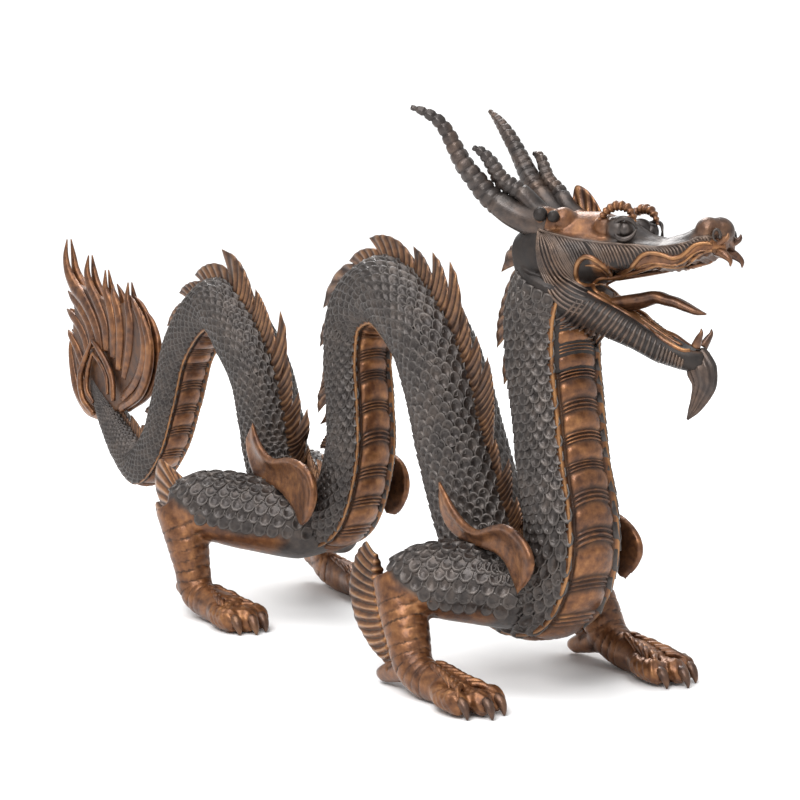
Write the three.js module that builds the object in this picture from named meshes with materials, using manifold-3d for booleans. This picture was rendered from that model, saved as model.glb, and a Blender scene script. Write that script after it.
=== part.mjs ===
// A cast bronze dragon, striding with its mouth open: one solid, as the casting is after its
// sections are welded and chased. Millimetres, +X towards the nose, +Y the dragon's left, +Z up,
// origin on the ground under the middle of the box, feet flat on z = 0.
import * as THREE from "three";
import { mergeVertices } from "three/addons/utils/BufferGeometryUtils.js";
import Module from "manifold-3d";

const wasm = await Module();
wasm.setup();

// ---- Driving dimensions ----
const FLANK_ANGLES = [50, 98]; // degrees from the spine, points of the flank
const RIM_ANGLE = 142; // the raised rim between flank scales and belly
const RIM_RISE = 2.5;
const BELLY_ANGLE = 150; // belly plates lie beyond this angle
const PLATE_PITCH = 29; // one belly plate along the trunk
const PLATE_SINK = 1.5; // belly plates lie this far under the round
const GROOVE_SINK = 4.5; // and the grooves between them this far
const CREST_FOOT = 9; // half width of the crest's foot, degrees
const CREST_STEPS = 3; // rings to one lobe of the crest
const CREST_LEAN = 15; // each tip is swept this far towards the tail
// Height of the crest's tips above the back: [distance from the tail tip, height].
const CREST_TIPS = [
  [80, 0], [110, 12], [345, 20], [410, 20], [445, 31], [520, 42], [610, 44], [700, 30],
  [800, 30], [880, 46], [970, 38], [1051, 27], [1095, 26], [1130, 42], [1206, 34],
  [1290, 27], [1600, 32], [1692, 42], [1760, 48], [1780, 40],
];
const GROUND_TRIM = 60; // depth of the block that trims the soles flat
const MIDDLE_SHIFT = 51.5; // moves the casting's middle over the origin

// ---- Paths: centre x, y, z and radius, from end to end ----
const TRUNK = [
  [-556, 0, 205, 3], [-539, 0, 181, 10], [-505, 0, 152, 17], [-467, 0, 124, 22],
  [-428, 0, 109, 25], [-383, 0, 143, 26], [-353, 0, 196, 27], [-320, 0, 262, 28],
  [-254, 0, 308, 30], [-198, 0, 273, 32], [-167, 0, 238, 32], [-148, 0, 191, 33],
  [-137, 0, 158, 33], [-112, 0, 120, 34], [-55, 0, 103, 35], [-2, 0, 122, 35],
  [28, 0, 186, 34], [28, 0, 238, 33], [24, 0, 281, 33], [37, 0, 331, 34],
  [87, 0, 352, 36], [152, 0, 316, 38], [183, 0, 274, 40], [213, 0, 209, 42],
  [245, 0, 147, 43], [275, 0, 106, 44], [316, 0, 89, 44], [364, 0, 98, 44],
  [388, 0, 138, 43], [388, 0, 172, 42], [376, 0, 220, 41], [367, 0, 269, 41],
  [359, 0, 317, 42], [360, 0, 360, 43], [372, 0, 395, 40],
];
const UPPER_ARM = [
  [335, -25, 98, 40], [300, -66, 102, 38], [276, -90, 101, 34], [260, -100, 92, 27],
];
const FOREARM = [
  [258, -103, 100, 27], [272, -107, 78, 25], [288, -112, 50, 22], [299, -115, 26, 20],
  [325, -115, 17, 19], [355, -113, 14, 17], [392, -113, 11, 12],
];
const THIGH = [
  [-50, -25, 103, 40], [-92, -66, 110, 39], [-128, -96, 114, 36], [-150, -110, 106, 28],
];
const SHIN = [
  [-148, -112, 112, 27], [-130, -114, 80, 23], [-122, -113, 50, 19], [-115, -112, 27, 18],
  [-85, -110, 17, 18], [-55, -109, 14, 17], [-28, -108, 11, 12],
];
const FAR_HIND_SHIFT = [-72, 25, 0]; // the left hind leg strides further back and closer in
// Horns and tines, in the head's own frame.
const HORN_RIGHT = [
  [-2, -20, 40, 13], [-18, -24, 44, 12.5], [-35, -28, 52, 12], [-53, -33, 67, 10.5],
  [-63, -37, 81, 9.5], [-74, -42, 97, 8.5], [-81, -46, 112, 7.5], [-86, -51, 126, 6.5],
  [-93, -55, 137, 5.5], [-104, -60, 145, 4], [-116, -64, 150, 2],
];
const HORN_LEFT = [
  [2, 20, 42, 12.5], [-17, 24, 56, 11.5], [-40, 32, 82, 9.5], [-57, 40, 106, 8],
  [-74, 48, 130, 6.5], [-88, 56, 145, 4.5], [-102, 64, 156, 2],
];
const TINE_RIGHT = [
  [-6, -20, 52, 8.5], [-24, -24, 68, 8], [-41, -29, 81, 7.5], [-49, -34, 96, 6.5],
  [-57, -39, 107, 4.5], [-63, -44, 111, 2],
];
const TINE_LEFT = [
  [10, 20, 48, 8], [-2, 24, 59, 7.5], [-11, 28, 71, 7], [-24, 32, 84, 6.5],
  [-31, 36, 97, 5.5], [-37, 40, 107, 4.5], [-45, 44, 111, 2],
];

// ---- Helpers: geometry ----
const vec = (x, y, z) => new THREE.Vector3(x, y, z);
const radians = THREE.MathUtils.degToRad;

// Rings of equal count become one closed skin, its two ends closed by fans.
function skin(rings) {
  const sides = rings[0].length;
  const points = rings.flat();
  const index = [];
  for (let i = 0; i + 1 < rings.length; i++) {
    for (let j = 0; j < sides; j++) {
      const k = (j + 1) % sides;
      const [a, b] = [i * sides + j, i * sides + k];
      index.push(a, b, b + sides, a, b + sides, a + sides);
    }
  }
  const middle = (ring) =>
    ring.reduce((sum, p) => sum.add(p), vec(0, 0, 0)).divideScalar(sides);
  const tail = points.push(middle(rings[0])) - 1;
  const nose = points.push(middle(rings.at(-1))) - 1;
  const last = (rings.length - 1) * sides;
  for (let j = 0; j < sides; j++) {
    const k = (j + 1) % sides;
    index.push(tail, k, j, nose, last + j, last + k);
  }
  const geometry = new THREE.BufferGeometry().setFromPoints(points);
  geometry.setIndex(index);
  return geometry;
}

// A path with a radius, read by share of its length.
class Track {
  constructor(stations) {
    this.stations = stations;
    this.curve = new THREE.CatmullRomCurve3(
      stations.map(([x, y, z]) => vec(x, y, z)), false, "centripetal");
    this.curve.arcLengthDivisions = 400;
    this.length = this.curve.getLength();
  }
  at(share) {
    const t = this.curve.getUtoTmapping(THREE.MathUtils.clamp(share, 0, 1));
    const place = t * (this.stations.length - 1);
    const from = Math.min(Math.floor(place), this.stations.length - 2);
    const radius = THREE.MathUtils.lerp(
      this.stations[from][3], this.stations[from + 1][3], place - from);
    return { point: this.curve.getPoint(t), ahead: this.curve.getTangent(t), radius };
  }
}

// A round limb along a path. wide and tall stretch its section across and along "up".
function limb(stations, { sides = 10, steps = 8, wide = 1, tall = 1 } = {}) {
  const track = new Track(stations);
  const rings = [];
  for (let i = 0; i <= steps; i++) {
    const { point, ahead, radius } = track.at(i / steps);
    const across = vec(0, 1, 0).cross(ahead).lengthSq() > 0.2
      ? vec(0, 1, 0).addScaledVector(ahead, -ahead.y).normalize()
      : vec(1, 0, 0).addScaledVector(ahead, -ahead.x).normalize();
    const up = ahead.clone().cross(across);
    rings.push(Array.from({ length: sides }, (_, j) => {
      const turn = (2 * Math.PI * j) / sides;
      return point.clone()
        .addScaledVector(across, radius * wide * Math.cos(turn))
        .addScaledVector(up, radius * tall * Math.sin(turn));
    }));
  }
  return skin(rings);
}

// A flat plate: an outline of [x, z] pairs, its thickness centred on y.
function plate(outline, thick, y = 0, bevel = 0) {
  const shape = new THREE.Shape(outline.map(([x, z]) => new THREE.Vector2(x, z)));
  const geometry = new THREE.ExtrudeGeometry(shape, {
    depth: thick - 2 * bevel,
    bevelEnabled: bevel > 0,
    bevelThickness: bevel,
    bevelSize: bevel,
    bevelOffset: -bevel,
    bevelSegments: 1,
    steps: 1,
  });
  geometry.rotateX(Math.PI / 2);
  return geometry.translate(0, y + thick / 2 - bevel, 0);
}

function ball(x, y, z, [rx, ry, rz], detail = 7) {
  return new THREE.SphereGeometry(1, detail, detail - 2).scale(rx, ry, rz).translate(x, y, z);
}

// A cone from one point to another.
function spike(from, to, radius, sides = 6) {
  const axis = to.clone().sub(from);
  const cone = new THREE.ConeGeometry(radius, axis.length(), sides);
  cone.translate(0, axis.length() / 2, 0);
  cone.applyQuaternion(
    new THREE.Quaternion().setFromUnitVectors(vec(0, 1, 0), axis.normalize()));
  return cone.translate(from.x, from.y, from.z);
}

// ---- Helpers: solids ----
function solid(geometry) {
  const bare = (geometry.index ? geometry : geometry.clone()).clone();
  bare.deleteAttribute("normal");
  bare.deleteAttribute("uv");
  const merged = mergeVertices(bare, 1e-3);
  const body = new wasm.Manifold(new wasm.Mesh({
    numProp: 3,
    vertProperties: merged.attributes.position.array,
    triVerts: new Uint32Array(merged.index.array),
  }));
  return body;
}

// The same geometry on the dragon's other side, its faces turned the right way again.
function mirrored(geometry) {
  const copy = geometry.index ? geometry.toNonIndexed() : geometry.clone();
  copy.scale(1, -1, 1);
  const place = copy.attributes.position.array;
  for (let i = 0; i < place.length; i += 9) {
    for (let k = 0; k < 3; k++) {
      [place[i + 3 + k], place[i + 6 + k]] = [place[i + 6 + k], place[i + 3 + k]];
    }
  }
  return copy;
}

const bothSides = (geometries) => [...geometries, ...geometries.map(mirrored)];

// ---- Trunk: crested back, round flanks, rimmed and plated belly ----
const trunk = new Track(TRUNK);

// At a share of the trunk: centre, direction of the spine, and radius.
function spineAt(share) {
  const { point, ahead, radius } = trunk.at(share);
  return { point, ahead, radius, spine: vec(-ahead.z, 0, ahead.x) };
}

// Height of the crest's tips at a distance from the tail tip.
function crestHeight(distance) {
  const next = CREST_TIPS.findIndex(([place]) => place > distance);
  if (next < 1) return 0;
  const [[from, low], [to, high]] = [CREST_TIPS[next - 1], CREST_TIPS[next]];
  return THREE.MathUtils.lerp(low, high, (distance - from) / (to - from));
}

// The trunk's rings run from tail to head. The first point of each is the crest's edge:
// low, then a tip swept back over it, then the lobe's long falling front.
function trunkSkin() {
  const steps = 2 * Math.round(trunk.length / PLATE_PITCH);
  const half = [CREST_FOOT, ...FLANK_ANGLES, RIM_ANGLE, BELLY_ANGLE];
  const angles = [0, ...half, 180, ...half.toReversed().map((angle) => 360 - angle)];
  const rings = [];
  for (let i = 0; i <= steps; i++) {
    const { point, ahead, radius, spine } = spineAt(i / steps);
    const slim = Math.min(1, radius / 30);
    const sink = i % 2 ? PLATE_SINK : GROOVE_SINK;
    const phase = i % CREST_STEPS;
    const crest = crestHeight((i / steps) * trunk.length) * [0.3, 1, 0.72][phase];
    const lean = phase === 1 && crest > 0 ? CREST_LEAN : 0;
    rings.push(angles.map((angle) => {
      const fold = angle > 180 ? 360 - angle : angle;
      let reach = radius;
      if (fold === 0) reach += crest;
      if (fold === RIM_ANGLE) reach += RIM_RISE * slim;
      if (fold >= BELLY_ANGLE) reach -= sink * slim;
      return point.clone()
        .addScaledVector(spine, reach * Math.cos(radians(angle)))
        .addScaledVector(vec(0, -1, 0), reach * Math.sin(radians(angle)))
        .addScaledVector(ahead, fold === 0 ? -lean : 0);
    }));
  }
  return skin(rings);
}

// ---- Legs: scaled upper leg, smooth lower leg with a comb fin, paw with three toes ----
function paw(toeX, toeY) {
  const toes = [];
  for (const [spread, reach] of [[-19, -8], [0, 4], [19, -4]]) {
    const [x, y] = [toeX + reach, toeY + spread];
    toes.push(limb([[x - 26, toeY + spread * 0.7, 10, 11], [x - 10, y, 11, 12.5],
      [x + 6, y, 8.5, 10.5], [x + 14, y, 6, 6.5]], { sides: 6, steps: 3 }));
    toes.push(spike(vec(x + 10, y, 8), vec(x + 25, y, 2), 5, 5));
  }
  return toes;
}

// The comb fin down the back of a lower leg.
function combFin(backX, y, topZ, depth) {
  const outline = [
    [backX + 22, topZ + 2], [backX + 6, topZ + 12], [backX - 4, topZ - 12],
    [backX - 2, topZ - 38], [backX + 8, topZ - 62], [backX + 14, topZ - 80],
    [backX + 36, topZ - 78], [backX + 34, topZ - 40],
  ];
  return plate(outline, depth, y);
}

function frontLeg() {
  return [
    limb(UPPER_ARM, { steps: 4, sides: 10, tall: 0.95 }),
    limb(FOREARM, { steps: 7, sides: 9 }),
    ...paw(396, -113),
    combFin(212, -104, 118, 9),
    spike(vec(292, -114, 24), vec(250, -112, 26), 11, 7),
  ];
}

function hindLeg() {
  return [
    limb(THIGH, { steps: 4, sides: 10, tall: 0.95 }),
    limb(SHIN, { steps: 7, sides: 9 }),
    ...paw(-24, -108),
    combFin(-186, -112, 130, 9),
    spike(vec(-118, -111, 24), vec(-150, -113, 30), 10, 7),
  ];
}

// ---- Shoulder flames: a smooth tongue that rises along the flank from each upper leg ----
function shoulderFlame(x, z, y, size) {
  const outline = [
    [0, 0], [-6, 30], [-30, 46], [-62, 44], [-84, 60], [-102, 92],
    [-112, 58], [-104, 20], [-72, -2], [-40, -6], [-24, -22],
  ].map(([u, v]) => [x + u * size, z + v * size]);
  return plate(outline, 14, y, 3);
}

// ---- Tail flame: a broad leaf of tongues in the plane of the tail ----
function tailFlame() {
  const outline = [
    [-573, 150], [-598, 168], [-616, 204], [-620, 232], [-627, 247], [-616, 240],
    [-632, 273], [-615, 262], [-629, 294], [-606, 284], [-622, 310], [-632, 356],
    [-610, 318], [-588, 300], [-575, 341], [-558, 298], [-546, 296], [-533, 327],
    [-508, 284], [-492, 282], [-477, 316], [-448, 296], [-420, 274], [-413, 246],
    [-425, 214], [-455, 186], [-462, 172], [-500, 160],
  ];
  return plate(outline, 18, 0, 5);
}

// ---- Head: drawn straight ahead of the neck top, then turned, raised and tilted ----
const HEAD_PIVOT = [365, 0, 400];
const HEAD_TURN = 27; // degrees towards the dragon's left
const HEAD_RAISE = 5;
const HEAD_TILT = 7; // left cheek down

// One ring of a skull or jaw section: half width, rise above and fall below z.
function section(x, z, wide, high, low, sides = 12, power = 0.8) {
  return Array.from({ length: sides }, (_, j) => {
    const turn = (2 * Math.PI * (j + 0.5)) / sides;
    const [c, s] = [Math.cos(turn), Math.sin(turn)];
    const across = Math.sign(c) * Math.abs(c) ** power * wide;
    const rise = Math.sign(s) * Math.abs(s) ** power * (s > 0 ? high : low);
    return vec(x, across, z + rise);
  });
}

function skull() {
  return skin([
    section(-34, 16, 26, 18, 30),
    section(-12, 18, 34, 30, 44),
    section(20, 16, 36, 35, 42),
    section(50, 12, 35, 37, 27),
    section(78, 10, 31, 30, 25),
    section(97, 6, 28, 20, 21),
    section(113, 4, 27, 18, 19),
    section(132, 6, 25, 19, 19),
    section(150, 12, 22, 20, 20),
    section(164, 16, 18, 20, 18),
    section(172, 16, 12, 13, 14),
  ]);
}

function lowerJaw() {
  return skin([
    section(-20, -24, 34, 20, 24, 10),
    section(28, -28, 38, 20, 26, 10),
    section(54, -42, 36, 18, 24, 10),
    section(78, -55, 33, 20, 21, 10),
    section(100, -68, 28, 17, 20, 10),
    section(122, -79, 22, 14, 16, 10),
    section(140, -85, 16, 11, 14, 10),
    section(149, -85, 9, 7, 9, 10),
  ]);
}

function head() {
  const paired = [
    ball(84, -23, 30, [11, 10, 11]),
    limb([[54, -24, 38, 6], [64, -24, 44, 8], [76, -22, 46, 8], [86, -19, 42, 7],
      [92, -17, 32, 5]], { sides: 6, steps: 5 }),
    ball(157, -8, 26, [14, 12, 13]),
    spike(vec(165, -8, 7), vec(179, -11, -6), 5, 5),
    spike(vec(160, -10, 12), vec(178, -13, 20), 5, 4),
    spike(vec(142, -8, -74), vec(147, -11, -62), 5, 5),
    limb([[50, -36, -12, 7], [62, -35, -7, 7], [77, -33, -13, 6], [94, -30, -8, 7],
      [112, -28, -2, 7], [131, -25, -5, 6], [147, -23, -1, 6], [164, -17, 7, 6]],
    { sides: 5, steps: 9 }),
    limb([[52, -36, -25, 6], [78, -34, -36, 6], [98, -30, -51, 6], [122, -23, -66, 5],
      [143, -13, -75, 5]], { sides: 5, steps: 6 }),
    ball(46, -36, -2, [10, 7, 9]),
    plate([[6, 30], [5, 76], [16, 73], [24, 66], [34, 48], [36, 30]], 8, -27),
  ];
  const middle = [
    skull(),
    lowerJaw(),
    limb([[50, 0, -34, 16], [84, 0, -34, 13], [106, 0, -29, 10], [124, 0, -35, 8],
      [138, 0, -43, 7], [148, 0, -48, 3]], { sides: 7, steps: 7, wide: 1.2, tall: 0.6 }),
    limb([[138, 0, -80, 12], [144, 0, -98, 14], [145, 0, -111, 11], [139, 0, -126, 7],
      [128, 0, -142, 2]], { sides: 7, steps: 6, wide: 0.8 }),
    ...[HORN_RIGHT, HORN_LEFT].map((horn) => limb(horn, { sides: 6, steps: 10 })),
    ...[TINE_RIGHT, TINE_LEFT].map((tine) => limb(tine, { sides: 5, steps: 6 })),
  ];
  const pose = new THREE.Matrix4()
    .makeRotationFromEuler(new THREE.Euler(
      radians(-HEAD_TILT), radians(-HEAD_RAISE), radians(HEAD_TURN), "ZYX"))
    .setPosition(...HEAD_PIVOT);
  return [...middle, ...bothSides(paired)].map((geometry) => geometry.applyMatrix4(pose));
}

// ---- The whole casting ----
const farHind = hindLeg().map((g) => mirrored(g));
const farKnee = THIGH.map(([x, y, z, r]) => [x, -y, z, r]);
farHind.shift();
farHind.forEach((g) => g.translate(FAR_HIND_SHIFT[0], -FAR_HIND_SHIFT[1], 0));

const farThigh = limb(farKnee.map(([x, y, z, r], i) => {
  const share = i / (farKnee.length - 1);
  return [x + FAR_HIND_SHIFT[0] * share, y - FAR_HIND_SHIFT[1] * share, z, r];
}), { steps: 4, sides: 10, tall: 0.95 });

const pieces = [
  trunkSkin(),
  ...bothSides(frontLeg()),
  ...hindLeg(),
  farThigh,
  ...farHind,
  ...bothSides([shoulderFlame(352, 112, -58, 1), shoulderFlame(-10, 118, -52, 1)]),
  tailFlame(),
  ...head(),
];

const ground = new THREE.BoxGeometry(2000, 1000, GROUND_TRIM)
  .translate(0, 0, -GROUND_TRIM / 2);
const cast = wasm.Manifold.union(pieces.map(solid)).subtract(solid(ground));
const mesh = cast.translate([MIDDLE_SHIFT, 0, 0]).getMesh();
const surface = new THREE.BufferGeometry();
surface.setAttribute("position", new THREE.BufferAttribute(
  Float32Array.from(mesh.vertProperties), 3));
surface.setIndex(new THREE.BufferAttribute(Uint32Array.from(mesh.triVerts), 1));
surface.computeVertexNormals();

const bronze = new THREE.MeshStandardMaterial({
  name: "patinated bronze", color: 0x3b302b, roughness: 0.42, metalness: 0.85 });
const dragon = new THREE.Mesh(surface, bronze);
dragon.name = "dragon";
const sculpture = new THREE.Group();
sculpture.add(dragon);

export default sculpture;
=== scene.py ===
# %% [markdown]
# # A cast bronze dragon
# The real figure is one hollow bronze casting, modelled in wax scale by scale before it was
# poured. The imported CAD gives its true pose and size. Here each region gets the carving that
# the plain solid leaves out, in the same frame, in metres.

# %% The frame
import math

import bpy
import bmesh
import numpy as np
from mathutils import Matrix, Vector
from mathutils.bvhtree import BVHTree


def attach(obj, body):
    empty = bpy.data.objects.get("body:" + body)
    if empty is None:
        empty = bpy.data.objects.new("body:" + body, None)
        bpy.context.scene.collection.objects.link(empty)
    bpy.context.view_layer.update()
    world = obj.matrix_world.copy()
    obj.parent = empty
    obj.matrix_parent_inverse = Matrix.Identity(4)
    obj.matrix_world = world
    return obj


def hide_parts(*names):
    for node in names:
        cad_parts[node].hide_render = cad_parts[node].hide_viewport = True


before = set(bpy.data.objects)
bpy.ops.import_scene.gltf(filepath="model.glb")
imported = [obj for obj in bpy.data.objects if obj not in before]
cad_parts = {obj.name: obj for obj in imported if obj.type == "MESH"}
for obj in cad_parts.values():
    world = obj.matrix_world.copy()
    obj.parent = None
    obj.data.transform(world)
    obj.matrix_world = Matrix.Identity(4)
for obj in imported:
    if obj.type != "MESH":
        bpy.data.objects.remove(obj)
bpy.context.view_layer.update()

# %% [markdown]
# ## Paths
# Body, limbs and horns are all round things that follow a curve, so each is written as a few
# stations: centre x, y, z and radius in millimetres. A Catmull-Rom curve goes through them,
# the same one that the solid uses, and everything else is placed by distance along it.

# %% Stations of the trunk
MIDDLE_SHIFT = 51.5
TRUNK = [
    (-556, 0, 205, 3), (-539, 0, 181, 10), (-505, 0, 152, 17), (-467, 0, 124, 22),
    (-428, 0, 109, 25), (-383, 0, 143, 26), (-353, 0, 196, 27), (-320, 0, 262, 28),
    (-254, 0, 308, 30), (-198, 0, 273, 32), (-167, 0, 238, 32), (-148, 0, 191, 33),
    (-137, 0, 158, 33), (-112, 0, 120, 34), (-55, 0, 103, 35), (-2, 0, 122, 35),
    (28, 0, 186, 34), (28, 0, 238, 33), (24, 0, 281, 33), (37, 0, 331, 34),
    (87, 0, 352, 36), (152, 0, 316, 38), (183, 0, 274, 40), (213, 0, 209, 42),
    (245, 0, 147, 43), (275, 0, 106, 44), (316, 0, 89, 44), (364, 0, 98, 44),
    (388, 0, 138, 43), (388, 0, 172, 42), (376, 0, 220, 41), (367, 0, 269, 41),
    (359, 0, 317, 42), (360, 0, 360, 43), (372, 0, 395, 40),
]

# %% A curve read by distance
def unit(v):
    """Rows of v made one long."""
    return v / np.maximum(np.linalg.norm(v, axis=-1, keepdims=True), 1e-9)


class Track:
    """A curve through stations, with a radius, read by distance in millimetres."""

    def __init__(self, stations, fine=60):
        data = np.array(stations, float)
        points, radii = data[:, :3], data[:, 3]
        ends = [2 * points[0] - points[1]], [2 * points[-1] - points[-2]]
        padded = np.vstack([ends[0], points, ends[1]])
        places, widths = [], []
        for i in range(len(points) - 1):
            p0, p1, p2, p3 = padded[i:i + 4]
            d0, d1, d2 = (max(np.linalg.norm(b - a), 1e-6) ** 0.5
                          for a, b in ((p0, p1), (p1, p2), (p2, p3)))
            m1 = ((p1 - p0) / d0 - (p2 - p0) / (d0 + d1) + (p2 - p1) / d1) * d1
            m2 = ((p2 - p1) / d1 - (p3 - p1) / (d1 + d2) + (p3 - p2) / d2) * d1
            t = np.linspace(0, 1, fine, endpoint=False)[:, None]
            places.append((2 * t**3 - 3 * t**2 + 1) * p1 + (t**3 - 2 * t**2 + t) * m1
                          + (-2 * t**3 + 3 * t**2) * p2 + (t**3 - t**2) * m2)
            widths.append(radii[i] + (radii[i + 1] - radii[i]) * t[:, 0])
        self.points = np.vstack(places + [points[-1:]])
        self.radii = np.concatenate(widths + [radii[-1:]])
        steps = np.linalg.norm(np.diff(self.points, axis=0), axis=1)
        self.reach = np.concatenate([[0], np.cumsum(steps)])
        self.length = self.reach[-1]
        self.ahead = unit(np.gradient(self.points, self.reach, axis=0))

    def at(self, distance):
        """Centre, direction and radius at each distance."""
        pick = lambda table: np.stack(
            [np.interp(distance, self.reach, table[:, k]) for k in range(3)], -1)
        return (pick(self.points), unit(pick(self.ahead)),
                np.interp(distance, self.reach, self.radii))


trunk = Track(TRUNK)
print("trunk length", round(trunk.length), "mm")

# %% [markdown]
# ## From rows of points to a mesh
# A loft is a grid of points: each row is one section, and the rows follow the curve. Blender's
# own tools would need thousands of extrusions for this, so the grid is given to the mesh
# directly. Two numbers travel with every point: `rise`, how far the carving stands up, which
# the finish uses for wear and a painted highlight on raised parts and for painted shade in the
# hollows, and `tone`, dark scale or brown bronze.

# %% Mesh helpers
LEFT = np.array([0.0, 1.0, 0.0])


def grid_faces(rows, columns, closed=True, offset=0):
    """Quads between neighbouring rows. closed joins the last column to the first."""
    across = columns if closed else columns - 1
    i, j = np.meshgrid(np.arange(rows - 1), np.arange(across), indexing="ij")
    k = (j + 1) % columns
    quads = np.stack([i * columns + j, i * columns + k,
                      (i + 1) * columns + k, (i + 1) * columns + j], -1)
    return quads.reshape(-1, 4) + offset


def fill_mesh(name, points, faces, rise=0.5, tone=0.0, smooth=True):
    """A mesh object from points in millimetres and a list of face index rows."""
    points = np.asarray(points, float).reshape(-1, 3)
    placed = (points + [MIDDLE_SHIFT, 0, 0]) / 1000
    mesh = bpy.data.meshes.new(name)
    mesh.from_pydata(placed.tolist(), [], [list(map(int, f)) for f in faces])
    for label, values in (("rise", rise), ("tone", tone)):
        layer = mesh.attributes.new(label, "FLOAT", "POINT")
        layer.data.foreach_set("value", np.broadcast_to(values, len(points)).astype("f"))
    mesh.polygons.foreach_set("use_smooth", [smooth] * len(mesh.polygons))
    mesh.update()
    piece = bpy.data.objects.new(name, mesh)
    bpy.context.scene.collection.objects.link(piece)
    return piece


def only(piece):
    """piece alone selected and active."""
    bpy.ops.object.select_all(action="DESELECT")
    piece.select_set(True)
    bpy.context.view_layer.objects.active = piece


def outward(piece):
    """Doubles merged and every face turned outwards."""
    only(piece)
    bpy.ops.object.mode_set(mode="EDIT")
    bpy.ops.mesh.select_all(action="SELECT")
    bpy.ops.mesh.remove_doubles(threshold=1e-6)
    bpy.ops.mesh.normals_make_consistent(inside=False)
    bpy.ops.object.mode_set(mode="OBJECT")
    return piece


def join(name, pieces):
    """Several pieces made one."""
    only(pieces[0])
    for piece in pieces:
        piece.select_set(True)
    if len(pieces) > 1:
        bpy.ops.object.join()
    joined = bpy.context.view_layer.objects.active
    joined.name = name
    joined.data.name = name
    return joined


def triangles(piece):
    return sum(len(p.vertices) - 2 for p in piece.data.polygons)


def blended(piece, voxel, smoothing=4):
    """Overlapping lumps fused into one skin, as wax is, and the joints softened."""
    only(piece)
    fuse = piece.modifiers.new("fuse", "REMESH")
    fuse.mode = "VOXEL"
    fuse.voxel_size = voxel / 1000
    fuse.use_smooth_shade = True
    bpy.ops.object.modifier_apply(modifier=fuse.name)
    soften = piece.modifiers.new("soften", "SMOOTH")
    soften.factor = 0.5
    soften.iterations = smoothing
    bpy.ops.object.modifier_apply(modifier=soften.name)
    return piece


def points_of(piece):
    """The points of a piece, back in millimetres."""
    flat = np.empty(len(piece.data.vertices) * 3)
    piece.data.vertices.foreach_get("co", flat)
    return flat.reshape(-1, 3) * 1000 - [MIDDLE_SHIFT, 0, 0]


def normals_of(piece):
    flat = np.empty(len(piece.data.vertices) * 3)
    piece.data.vertices.foreach_get("normal", flat)
    return flat.reshape(-1, 3)


def move_points(piece, points):
    flat = (points + [MIDDLE_SHIFT, 0, 0]) / 1000
    piece.data.vertices.foreach_set("co", flat.ravel())
    piece.data.update()


def paint(piece, rise=None, tone=None):
    """Sets the two numbers that the finish reads."""
    count = len(piece.data.vertices)
    for label, values in (("rise", rise), ("tone", tone)):
        if values is None:
            continue
        layer = piece.data.attributes.get(label)
        if layer is None:
            layer = piece.data.attributes.new(label, "FLOAT", "POINT")
        layer.data.foreach_set("value", np.broadcast_to(values, count).astype("f"))


# %% [markdown]
# Limbs, horns, locks and claws are all round and tapering. By hand each would be a circle
# swept along a curve with a taper. Here the rings are placed by distance, so that folds and
# notches can be cut at even steps.

# %% A swept tube
def sweep(name, stations, sides=12, step=4.0, wide=1.0, tall=1.0, relief=None, tone=0.0,
          up=None):
    """A closed round limb along stations. relief(share, turn) adds millimetres."""
    track = stations if isinstance(stations, Track) else Track(stations)
    rows = max(4, int(round(track.length / step)) + 1)
    share = np.linspace(0, 1, rows)
    centre, ahead, radius = track.at(share * track.length)
    across = LEFT if up is None else np.cross(up, ahead)
    across = unit(across - (np.sum(across * ahead, -1, keepdims=True)) * ahead)
    above = np.cross(ahead, across)
    turn = np.arange(sides) * 2 * math.pi / sides
    extra = 0 if relief is None else relief(share[:, None], turn[None, :])
    reach = radius[:, None] + extra * np.minimum(1, radius[:, None] / 4)
    points = (centre[:, None]
              + across[:, None] * (reach * wide * np.cos(turn))[..., None]
              + above[:, None] * (reach * tall * np.sin(turn))[..., None])
    ends = np.vstack([centre[:1], centre[-1:]])
    faces = grid_faces(rows, sides).tolist()
    first, last = rows * sides, rows * sides + 1
    for j in range(sides):
        k = (j + 1) % sides
        faces.append([first, k, j])
        faces.append([last, (rows - 1) * sides + j, (rows - 1) * sides + k])
    raised = np.broadcast_to(np.clip(0.5 + extra * 0.35, 0, 1), (rows, sides)).ravel()
    return fill_mesh(name, np.vstack([points.reshape(-1, 3), ends]), faces,
                     np.append(raised, [0.5, 0.5]), tone)


# %% [markdown]
# Fins, crest lobes and the ear are thin leaves with ribs. Each is a closed sheet between a
# root line and an edge, thick at the root, with the ribs as waves in its thickness.

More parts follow.
